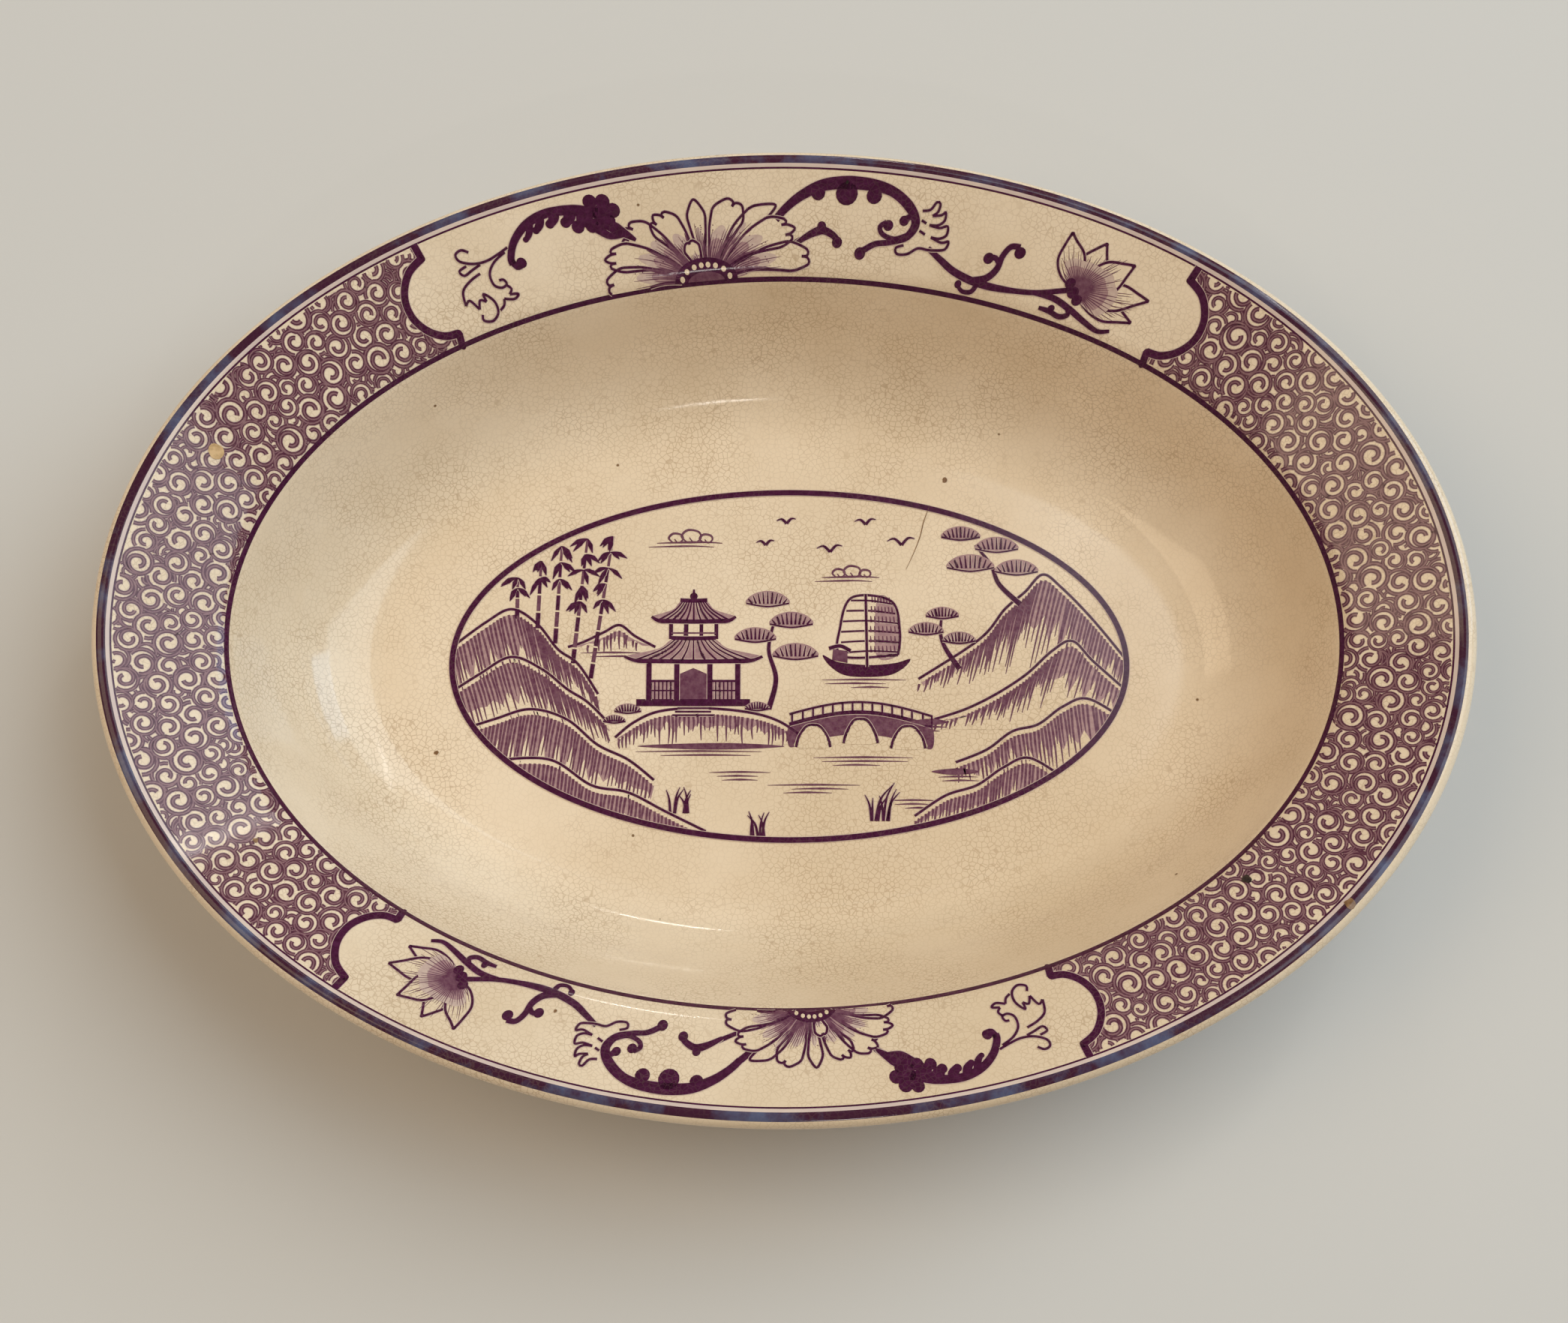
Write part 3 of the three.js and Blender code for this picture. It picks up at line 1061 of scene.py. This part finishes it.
def drawLotusBud(page):
    root = Vector(lotusBud["root"])
    for tip, breadth, sag, layer in lotusBud["petals"]:
        pointedPetal(page, root, tip, breadth, sag, layer)
    rays = [Vector((math.radians(angle), reach)) for angle, reach in lotusBud["cup"]]
    for layer, (ink, far) in enumerate(lotusBud["tones"].items(), 10):
        edge = flow([root + heading(ray.x) * ray.y * far for ray in rays])
        patch(page, ink, [root] + edge, layer, False)
    for k in range(lotusBud["cupLines"]):
        spot = (k + 0.5) / lotusBud["cupLines"] * (len(rays) - 1)
        ray = rays[int(spot)].lerp(rays[int(spot) + 1], spot % 1)
        way = heading(ray.x)
        line = [root + way * 0.2, root + way * ray.y * random.uniform(0.8, 1.4)]
        stroke(page, "mauve", line, penWidths["hatch"], 12)
    knobs(page, [(72.9, 7.0, 1.0), (74.2, 5.7, 1.1), (75.6, 4.7, 1.0)], 13)


def drawLotus(page):
    stalk = [(44.4, 6.7), (47.4, 5.1), (50.6, 3.6), (55.4, 2.6), (61.0, 2.6), (67.4, 3.6), (73.2, 5.8)]
    mark(page, stalk, (0.9, 1.3, 1.4, 1.3, 0.95, 0.9, 0.95))
    curl = [(54.0, 2.7), (57.0, 3.6), (58.5, 5.6), (58.7, 8.0), (59.6, 9.9), (61.3, 10.2)]
    mark(page, curl, (1.0, 1.3, 1.2, 1.1, 1.0, 1.1))
    mark(page, [(58.6, 6.6), (57.6, 7.4), (56.6, 7.3)], 1.0)
    mark(page, [(55.8, 2.6), (55.2, 1.0), (53.4, 0.7), (52.2, 1.4)], (1.1, 0.8, 0.7, 0.7))
    knobs(page, [(61.6, 9.3, 1.05), (56.3, 7.1, 1.0), (52.1, 1.7, 0.7)])
    branch = [(66.4, 3.4), (71.0, 3.7), (75.0, 2.9), (79.0, 1.8), (82.4, 1.2), (84.6, 2.0)]
    mark(page, branch, (0.6, 1.1, 1.2, 1.1, 0.9, 0.6))
    mark(page, [(74.6, 3.0), (75.4, 1.9), (74.0, 1.1), (71.6, 1.4), (69.4, 1.4)], (0.9, 0.9, 0.9, 0.9, 0.6))
    knobs(page, [(71.8, 1.9, 0.7)])
    drawLotusBud(page)


def fitFlower(page, size, sink):
    for item in page["strokes"] + page["patches"]:
        for spot in item[1]:
            spot *= size
            spot.y -= sink


def onReserve(spot):
    return 0 < spot.y < rimStrip["width"] - rimStrip["margin"]


# an outline is cut off at the reserve's edges, with no points left along the cut
def holdOnReserve(line):
    top = rimStrip["width"] - rimStrip["margin"]
    held = [Vector((spot.x, min(max(spot.y, 0), top))) for spot in line]
    after = held[1:] + held[:1]
    return [spot for k, spot in enumerate(held) if not held[k - 1].y == spot.y == after[k].y]


for reserveName, reserve in reserves.items():
    page = newPage()
    drawBigFlower(page)
    fitFlower(page, reserve["flowerSize"], reserve["sink"])
    layPage("big_flower_" + reserveName, page, reserveMap(reserve), onReserve, holdOnReserve)
    page = newPage()
    drawAcanthusArm(page)
    drawScrollArm(page)
    drawLotus(page)
    layPage("spray_" + reserveName, page, reserveMap(reserve), onReserve, holdOnReserve)
print("sprays laid")

# the oval scene on the floor, in mm from its own middle
medallion = {"centre": (1.0, 0.0), "halfLength": 65.4, "halfWidth": 34.7, "ring": 1.1, "ringSteps": 192}


def inMedallion(spot):
    return (spot.x / medallion["halfLength"]) ** 2 + (spot.y / medallion["halfWidth"]) ** 2 < 1


def holdInMedallion(line):
    held = []
    for spot in line:
        far = math.hypot(spot.x / medallion["halfLength"], spot.y / medallion["halfWidth"])
        held.append(spot / max(far, 1))
    return held


# a print is the mirror image of its drawing
def medallionToPlan(spot):
    return Vector((medallion["centre"][0] - spot.x, medallion["centre"][1] + spot.y))


def drawMedallionRing(page):
    line = []
    for k in range(medallion["ringSteps"] + 1):
        a = 2 * math.pi * k / medallion["ringSteps"]
        line.append((medallion["halfLength"] * math.cos(a), medallion["halfWidth"] * math.sin(a)))
    stroke(page, "plum", line, medallion["ring"], 13, False)


# a hill: a crest, a clean edge under it, then a tone and strokes that run down its slope
def drawHill(page, crest, foot, layer, lean=0.0, depth=0.75):
    crest = [Vector(p) for p in crest]
    line = flow(crest)
    patch(page, "cream", crest + [Vector((crest[-1].x, foot)), Vector((crest[0].x, foot))], layer, False)
    upper, lower = [], []
    for k, spot in enumerate(line[::4]):
        tall = spot.y - foot
        upper.append(spot - Vector((0, min(1.2, 0.3 * tall))))
        lower.append(spot + Vector((lean, -1)) * tall * depth * (0.55 + 0.25 * math.sin(1.7 * k + spot.x)))
    patch(page, "pale", upper + lower[::-1], layer + 1, False)
    along = 0.0
    for a, b in zip(line, line[1:]):
        along += (b - a).length
        if along < 0.7:
            continue
        along = 0.0
        drop = (b.y - foot) * depth * random.uniform(0.4, 1.0)
        if drop > 1.4:
            top = b - Vector((0, 1.1))
            end = top + Vector((lean, -1)) * drop
            middle = top.lerp(end, 0.5) + Vector((random.uniform(-0.2, 0.2), 0))
            stroke(page, "mauve", [top, middle, end], (0.5, 0.42, 0.14), layer + 2)
    fineLine(page, crest, layer + 2, 0.5)


# a stalk of bamboo in joints, with leaves that hang from the upper ones
def drawBamboo(page, foot, top, layer):
    foot, top = Vector(foot), Vector(top)
    joints = max(4, round((top - foot).length / 3.4))
    for k in range(joints):
        a, b = foot.lerp(top, (k + 0.04) / joints), foot.lerp(top, (k + 0.94) / joints)
        thick = 0.85 - 0.4 * k / joints
        stroke(page, "mauve" if k % 2 else "plum", [a, b], thick, layer)
        if k < joints * 0.35:
            continue
        for _ in range(4):
            way = heading(math.radians(random.choice((-1, 1)) * random.uniform(10, 70) - 90))
            long = random.uniform(2.2, 4.0)
            leaf = [b, b + way * long * 0.45 + Vector((0, 0.3)), b + way * long]
            mark(page, leaf, (0.12, 0.95, 0.06), layer + 1)


def drawGull(page, x, y, size):
    for wing in ([(-1, 0.5), (-0.5, 0.55), (0, 0)], [(1.1, 0.3), (0.55, 0.5), (0, 0)]):
        mark(page, [(x + px * size, y + py * size) for px, py in wing], (0.12, 0.5, 0.6), 4)


# a drifting cloud: a few curls on a flat base
def drawCloud(page, x, y, half):
    base = [(x - half, y), (x - half * 0.3, y + 0.2), (x + half, y)]
    stroke(page, "mauve", base, (0.14, 0.5, 0.14), 3)
    stroke(page, "mauve", [(px + half * 0.25, py - 0.8) for px, py in base], (0.1, 0.4, 0.1), 3)
    for spot, size in ((-0.5, 0.2), (-0.05, 0.3), (0.42, 0.22)):
        r = half * size
        middle = Vector((x + spot * half, y + r * 0.72))
        turns = (-1.2, 0, 1.2, 2.4, 3.4, 4.4)
        curl = [middle + Vector((r * math.cos(a), r * 0.72 * math.sin(a))) for a in turns]
        curl.append(middle + Vector((r * 0.2, -r * 0.12)))
        stroke(page, "mauve", curl, (0.2, 0.42, 0.5, 0.42, 0.36, 0.3, 0.2), 3)


def drawWater(page, x, y, length, rows, layer=2):
    for k in range(rows):
        half = length * (0.5 - 0.12 * k) * random.uniform(0.7, 1.0)
        spot = x + random.uniform(-0.1, 0.1) * length
        level = y - 0.75 * k
        ripple = [(spot - half, level), (spot, level + 0.12), (spot + half, level)]
        stroke(page, "mauve", ripple, (0.08, 0.42, 0.08), layer)


def drawShore(page, x, y, half, layer):
    tone = [(x - half, y), (x - half * 0.3, y + 0.7), (x + half * 0.6, y + 0.5), (x + half, y), (x, y - 0.6)]
    patch(page, "mauve", tone, layer)
    drawWater(page, x, y - 1.0, 2.2 * half, 2, layer)


def drawJunk(page, x, y):
    hull = [(-8, 2.6), (-6.4, 0.6), (-3, -0.8), (4, -0.8), (7.4, 1), (9, 3.4), (6, 2), (0, 1.4), (-5, 1.8)]
    patch(page, "plum", [(x + px, y + py) for px, py in hull], 5)
    mark(page, [(x + 0.4, y + 1), (x + 0.6, y + 15.6)], 0.5, 6)
    corners = ((-5.6, 3.4), (-6, 8), (-4.4, 14.2), (3.2, 15), (5.6, 9), (5.2, 3.2))
    sail = [Vector((x + px, y + py)) for px, py in corners]
    patch(page, "cream", sail, 3)
    patch(page, "pale", sail[:3] + [Vector((x - 1.6, y + 14.5)), Vector((x - 1.4, y + 3.4))], 4)
    for k in range(6):
        part = (k + 0.3) / 5.6
        a = sail[0].lerp(sail[2], part) - Vector((0.7 * math.sin(math.pi * part), 0))
        b = sail[5].lerp(sail[3], part) + Vector((1.1 * math.sin(math.pi * part), 0))
        fineLine(page, [a, a.lerp(b, 0.5) + Vector((0, 0.3)), b], 5, 0.34)
        for n in range(7):
            spot = a.lerp(b, 0.06 + 0.07 * n)
            stroke(page, "mauve", [spot, spot + Vector((0.1, 1.3))], (0.38, 0.18), 5)
    fineLine(page, sail + sail[:1], 5)
    cabin = [(4.2, 1.8), (4.2, 4.2), (7, 4.6), (7.2, 2.4)]
    patch(page, "mauve", [(x + px, y + py) for px, py in cabin], 6, False)
    mark(page, [(x + 3.6, y + 4.2), (x + 5.6, y + 5.2), (x + 7.8, y + 4.7)], 0.7)
    drawWater(page, x + 1, y - 1.6, 17, 3)


def drawRoof(page, x, y, half, rise, layer):
    left = [(-half, 0.9), (-half * 0.84, 0.1), (-half * 0.6, 0), (0, -0.1)]
    eave = left + [(-px, py) for px, py in left[-2::-1]]
    top = [(half * 0.5, rise * 0.55), (half * 0.26, rise), (-half * 0.26, rise), (-half * 0.5, rise * 0.55)]
    patch(page, "pale", [(x + px, y + py) for px, py in eave + top], layer)
    for k in range(11):
        part = (-1 + 0.2 * k) * half
        tile = [(x + part * 0.24, y + rise), (x + part * 0.46, y + rise * 0.5), (x + part * 0.86, y + 0.1)]
        mark(page, tile, (0.22, 0.32, 0.38), layer + 1)
    mark(page, [(x + px, y + py) for px, py in eave], (0.5, 0.95, 0.85, 0.85, 0.85, 0.95, 0.5), layer + 1)
    ridge = [(x - half * 0.32, y + rise), (x, y + rise - 0.1), (x + half * 0.32, y + rise)]
    mark(page, ridge, 0.8, layer + 1)


def boxPatch(page, ink, left, right, low, high, layer):
    patch(page, ink, [(left, low), (right, low), (right, high), (left, high)], layer, False)


def drawPavilion(page, x, y):
    boxPatch(page, "plum", x - 11, x + 11, y, y + 1.4, 6)
    for k in range(3):
        mark(page, [(x - 3 - 0.5 * k, y - 0.7 * k - 0.4), (x + 3 + 0.5 * k, y - 0.7 * k - 0.4)], 0.36, 6)
    boxPatch(page, "cream", x - 9, x + 9, y + 1.4, y + 9, 5)
    for post in (-8.6, -3.2, 3.2, 8.6):
        mark(page, [(x + post, y + 1.2), (x + post, y + 9)], 1.0)
    for a, b in ((-8.6, -3.2), (3.2, 8.6)):
        boxPatch(page, "pale", x + a, x + b, y + 1.4, y + 5, 6)
        for k in range(7):
            post = x + a + (b - a) * (k + 0.5) / 7
            mark(page, [(post, y + 1.4), (post, y + 5)], 0.28)
        mark(page, [(x + a, y + 5), (x + b, y + 5)], 0.45)
        mark(page, [(x + a, y + 3.1), (x + b, y + 3.1)], 0.3)
    door = [(-2.7, 1.4), (2.7, 1.4), (2.7, 6.4), (0, 7.6), (-2.7, 6.4)]
    patch(page, "mauve", [(x + px, y + py) for px, py in door], 6, False)
    drawRoof(page, x, y + 9, 13.4, 4.6, 7)
    boxPatch(page, "cream", x - 4.6, x + 4.6, y + 13.4, y + 17, 6)
    for post in (-4.4, -1.5, 1.5, 4.4):
        mark(page, [(x + post, y + 13.4), (x + post, y + 17)], 0.75)
    stroke(page, "mauve", [(x - 4.4, y + 14.6), (x + 4.4, y + 14.6)], 0.34, 7)
    drawRoof(page, x, y + 17, 8.2, 4.2, 8)
    mark(page, [(x, y + 21), (x, y + 23.4)], (0.8, 0.3), 9)
    knobs(page, [(x, y + 22, 0.75)], 9)


# a flat footbridge on round arches
def drawBridge(page, start, end, arches):
    start, end = Vector(start), Vector(end)
    deck = [start.lerp(end, k / 8) + Vector((0, 2.6 * math.sin(math.pi * k / 8))) for k in range(9)]
    under = [spot - Vector((0, 4.4)) for spot in deck]
    patch(page, "mauve", deck + under[::-1], 4)
    for k in range(arches):
        a = start.lerp(end, (k + 0.14) / arches)
        b = start.lerp(end, (k + 0.86) / arches)
        rise = 2.6 * math.sin(math.pi * (k + 0.5) / arches)
        low = a.y - 5.3 + 0.7 * rise
        top = a.lerp(b, 0.5) + Vector((0, rise - 1.3))
        arch = [(a.x, low), (a.x + 0.5, low + 2.0), (top.x - 1.4, top.y - 0.4), top]
        arch += [(top.x + 1.4, top.y - 0.4), (b.x - 0.5, low + 2.0), (b.x, low)]
        patch(page, "cream", arch, 5)
        fineLine(page, arch, 6)
    fineLine(page, deck, 6, 0.75)
    fineLine(page, [spot + Vector((0, 2.0)) for spot in deck], 6, 0.45)
    for spot in flow(deck)[::5]:
        mark(page, [spot, spot + Vector((0, 2.2))], 0.38, 6)


def drawPad(page, x, y, half, layer):
    dome = [(-1, 0), (-0.7, 0.42), (0, 0.6), (0.7, 0.42), (1, 0), (0, -0.18)]
    patch(page, "pale", [(x + px * half, y + py * half) for px, py in dome], layer)
    for k in range(9):
        part = (-0.9 + 0.225 * k) * half
        tip = y + half * 0.55 * math.cos(part / half * 1.3)
        mark(page, [(x + part * 0.8, y - 0.1), (x + part, tip)], (0.44, 0.22), layer + 1)
    fineLine(page, [(x - half, y), (x, y - half * 0.16), (x + half, y)], layer + 1, 0.34)


def drawPine(page, trunk, pads, layer):
    mark(page, trunk, (1.1, 0.9, 0.7, 0.45), layer)
    for x, y, half in pads:
        drawPad(page, x, y, half, layer + 1)


def drawReeds(page, x, y, count, height):
    for k in range(count):
        lean = random.uniform(-0.5, 0.5)
        foot = x + random.uniform(-0.5, 0.5) * count * 0.55
        tall = height * random.uniform(0.6, 1.0)
        blade = [(foot, y), (foot + lean * tall * 0.3, y + tall * 0.6), (foot + lean * tall, y + tall)]
        mark(page, blade, (0.55, 0.45, 0.1))


# banks from back to front: points of the crest, foot, layer and lean of the shading
banks = [
    {
        "crest": [(-66, 0), (-59, 9), (-53, 15.5), (-49.5, 18), (-46, 14.5), (-42, 11), (-37, 5), (-25, -3)],
        "foot": -6, "layer": 1, "lean": 0.25,
    },
    {
        "crest": [(-66, -6), (-59, 0.5), (-55, 4.6), (-51, 2.6), (-46, -2), (-40, -6), (-34, -9), (-28, -11)],
        "foot": -13, "layer": 3, "lean": 0.3,
    },
    {
        "crest": [(-66, -12), (-58, -7), (-53, -8.4), (-48, -12), (-43, -13.4), (-38, -17), (-32, -19.5)],
        "foot": -25, "layer": 5, "lean": -0.1,
    },
    {
        "crest": [(-52, -22), (-46, -18.6), (-41, -20.6), (-36, -24), (-30, -26), (-24, -30)],
        "foot": -34, "layer": 7, "lean": 0.1,
    },
    {
        "crest": [(37, -6), (41, 0), (45, 3), (49, 8), (54, 11), (59, 8.4), (66, 3)],
        "foot": -10, "layer": 1, "lean": -0.25,
    },
    {
        "crest": [(35, -11.6), (39, -7.6), (43, -5), (48, -1), (54, 1.4), (60, -2), (66, -6)],
        "foot": -17, "layer": 3, "lean": -0.3,
    },
    {
        "crest": [(26, -23), (31, -19), (37, -16), (43, -11), (50, -9), (57, -11), (66, -14)],
        "foot": -30, "layer": 5, "lean": 0.15,
    },
    {
        "crest": [(16, -33), (24, -29), (31, -25.4), (38, -24), (46, -19), (56, -19)],
        "foot": -36, "layer": 7, "lean": 0.1,
    },
]
islet = [(-3, -14.8), (2, -11.4), (8, -9.6), (17, -8.8), (25, -9.4), (30, -11.6), (33.6, -14.6)]
bambooStalks = [
    ((38.5, -3), (34.5, 26)),
    ((42, 0), (39.5, 25.5)),
    ((45.5, 4), (44.5, 24)),
    ((49, 7), (48.5, 21)),
    ((53, 9), (53, 17.5)),
]


def drawScene(page):
    for bank in banks:
        drawHill(page, **bank)
    drawPine(page, [(-45, 12), (-41, 16), (-39.4, 20), (-36.4, 24)], [
        (-44.4, 18.6, 4.2), (-35.4, 19.4, 4.6), (-40.6, 23.2, 4.2), (-33.6, 25.6, 3.8),
    ], 4)
    drawPine(page, [(-33, -1), (-30.4, 3), (-29.4, 6), (-29.6, 9)], [
        (-33, 4.6, 3.2), (-26.6, 6.4, 3.4), (-29.8, 9.6, 3.2),
    ], 4)
    drawShore(page, -27, -11.6, 3.6, 6)
    drawShore(page, -32, -21.4, 4.6, 7)

    # the islet with its pavilion, and the bridge to it
    drawHill(page, islet, -16, 3, 0.0, 0.9)
    drawPine(page, [(4, -9), (2.6, -3), (4.0, 3), (2.8, 9)], [
        (-1.2, 1.6, 4.4), (6.6, 5.0, 4.0), (-0.4, 8.0, 4.2), (4.2, 12.2, 4.2),
    ], 2)
    drawPavilion(page, 18.6, -8.4)
    for x, y, half in ((31.2, -9.4, 2.6), (33.8, -11.4, 2.2), (6.2, -8.9, 2.4)):
        drawPad(page, x, y, half, 6)
    drawBridge(page, (-27.5, -12.4), (0, -12.0), 3)
    drawShore(page, 15, -16.4, 14, 4)
    drawWater(page, -14, -18.6, 22, 3)

    # a junk, a far island, gulls and clouds
    drawHill(page, [(26, 3.4), (30, 5.6), (33, 7.8), (36, 6.4), (40, 4.4), (43, 3.4)], 3.0, 0, 0.0, 0.9)
    drawWater(page, 33, 2.2, 18, 2, 0)
    drawJunk(page, -15.5, -1.6)
    for x, y, size in (
        (-22, 24, 2.6), (-15, 28.2, 2.0), (-8, 22.6, 2.4), (0.5, 28.4, 1.8), (4.6, 24, 1.7),
    ):
        drawGull(page, x, y, size)
    drawCloud(page, -12, 17.4, 5.6)
    drawCloud(page, 19.5, 24.4, 6.4)

    # a grove of bamboo on one bank
    for foot, top in bambooStalks:
        drawBamboo(page, foot, top, 2)
    drawReeds(page, -17, -31, 9, 7.5)
    drawReeds(page, 6, -34, 6, 5.0)
    drawReeds(page, 21, -29.5, 7, 5.5)
    for x, y, length in ((-4, -24, 20), (-24, -27, 12), (10, -21.5, 14)):
        drawWater(page, x, y, length, 3)


page = newPage()
drawMedallionRing(page)
layPage("medallion_ring", page, medallionToPlan, curved=False)
page = newPage()
drawScene(page)
layPage("floor_scene", page, medallionToPlan, inMedallion, holdInMedallion, False)
print("floor scene laid:", len(page["strokes"]), "strokes")

# small marks of use: what shows there, place and half size in mm, and a hairline crack
useMarks = {
    "spots": [
        ("chip", (-105.9, 33.6), 1.4),
        ("pit", (84.0, -46.9), 0.85),
        ("brown", (101.1, -52.7), 0.9),
        ("brown", (31.6, 37.4), 0.5),
        ("brown", (-66.9, -17.6), 0.45),
        ("brown", (-41.0, -71.0), 0.35),
        ("pit", (12.0, 86.4), 0.3),
        ("brown", (-96.0, -40.0), 0.5),
    ],
    "corners": 9,
    "crack": [(28.6, 32.2), (27.4, 28.8), (26.6, 25.6), (25.2, 22.0), (23.8, 19.0)],
    "crackWidths": (0.05, 0.16, 0.16, 0.12, 0.05),
    "layer": 13,
}
page = newPage()
for ink, place, size in useMarks["spots"]:
    ring = []
    for k in range(useMarks["corners"]):
        way = heading(2 * math.pi * k / useMarks["corners"])
        ring.append(Vector(place) + way * size * random.uniform(0.7, 1.25))
    patch(page, ink, ring, useMarks["layer"])
stroke(page, "brown", useMarks["crack"], useMarks["crackWidths"], useMarks["layer"])
layPage("use_marks", page)
print("marks of use laid")

# soft studio light, a pale floor, and the camera where the photographer stood
studio = {
    "floor": (0.6, 0.565, 0.515, 1),
    "world": (1.0, 0.965, 0.92, 1),
    "worldStrength": 0.27,
    "floorHalf": 3.0,
    "cameraPlace": (-0.03 * mm, -140.33 * mm, 572.49 * mm),
    "cameraTilt": 14.0,  # degrees from straight down
    "lens": 68.9,
}


# lamps: place and target in metres, size, watts and colour
lamps = {
    "windowLight": ((1.56, 0.83, 2.43), (0, 0, 0.02), (2.6, 2.6), 65, (0.8, 0.92, 1.0)),
    "skyLight": ((2.1, 1.12, 1.06), (0, 0, 0.02), (1.2, 0.8), 12, (0.45, 0.8, 1.2)),
    "roomLight": ((-1.59, 0.0, 2.54), (0, 0, 0.02), (1.8, 1.8), 26, (1.0, 0.78, 0.52)),
    "warmLight": ((0.16, 1.84, 2.08), (0, 0, 0.02), (2.2, 1.0), 3.5, (1.0, 0.82, 0.62)),
    "windowEdge": ((1.12, 1.8, 2.1), (0, 0, 0.01), (0.03, 1.4), 2.4, (1.0, 0.99, 0.97)),
    "lampBehind": ((0.16, -1.5, 1.84), (-0.02, 0.05, 0.01), (0.18, 0.024), 0.9, (1.0, 0.96, 0.9)),
    "lampAhead": ((0.2, 2.2, 1.1), (-0.03, -0.06, 0.02), (0.18, 0.024), 1.0, (1.0, 0.96, 0.9)),
}


def areaLight(name, place, target, size, power, colour):
    data = bpy.data.lights.new(name, "AREA")
    data.shape = "RECTANGLE"
    data.size, data.size_y = size
    data.energy = power
    data.color = colour
    light = bpy.data.objects.new(name, data)
    light.location = place
    light.rotation_euler = (Vector(target) - Vector(place)).to_track_quat("-Z", "Y").to_euler()
    bpy.context.collection.objects.link(light)


for name, lamp in lamps.items():
    areaLight(name, *lamp)

world = bpy.data.worlds.new("studioWorld")
bpy.context.scene.world = world
world.use_nodes = True
world.node_tree.nodes["Background"].inputs["Color"].default_value = studio["world"]
world.node_tree.nodes["Background"].inputs["Strength"].default_value = studio["worldStrength"]

floorMesh = bmesh.new()
bmesh.ops.create_grid(floorMesh, x_segments=1, y_segments=1, size=studio["floorHalf"])
floorData = bpy.data.meshes.new("studioFloor")
floorMesh.to_mesh(floorData)
floorMesh.free()
floor = bpy.data.objects.new("studioFloor", floorData)
bpy.context.collection.objects.link(floor)
floorPaint, _, _, floorShader = startMaterial("floorPaint")
floorShader.inputs["Base Color"].default_value = studio["floor"]
floorShader.inputs["Roughness"].default_value = 0.9
floorData.materials.append(floorPaint)

cameraData = bpy.data.cameras.new("photoCamera")
cameraData.sensor_width = 36.0
cameraData.lens = studio["lens"]
camera = bpy.data.objects.new("photoCamera", cameraData)
camera.location = studio["cameraPlace"]
camera.rotation_euler = (math.radians(studio["cameraTilt"]), 0, 0)
bpy.context.collection.objects.link(camera)
bpy.context.scene.camera = camera
bpy.context.scene.view_settings.view_transform = "Standard"
print("studio ready")
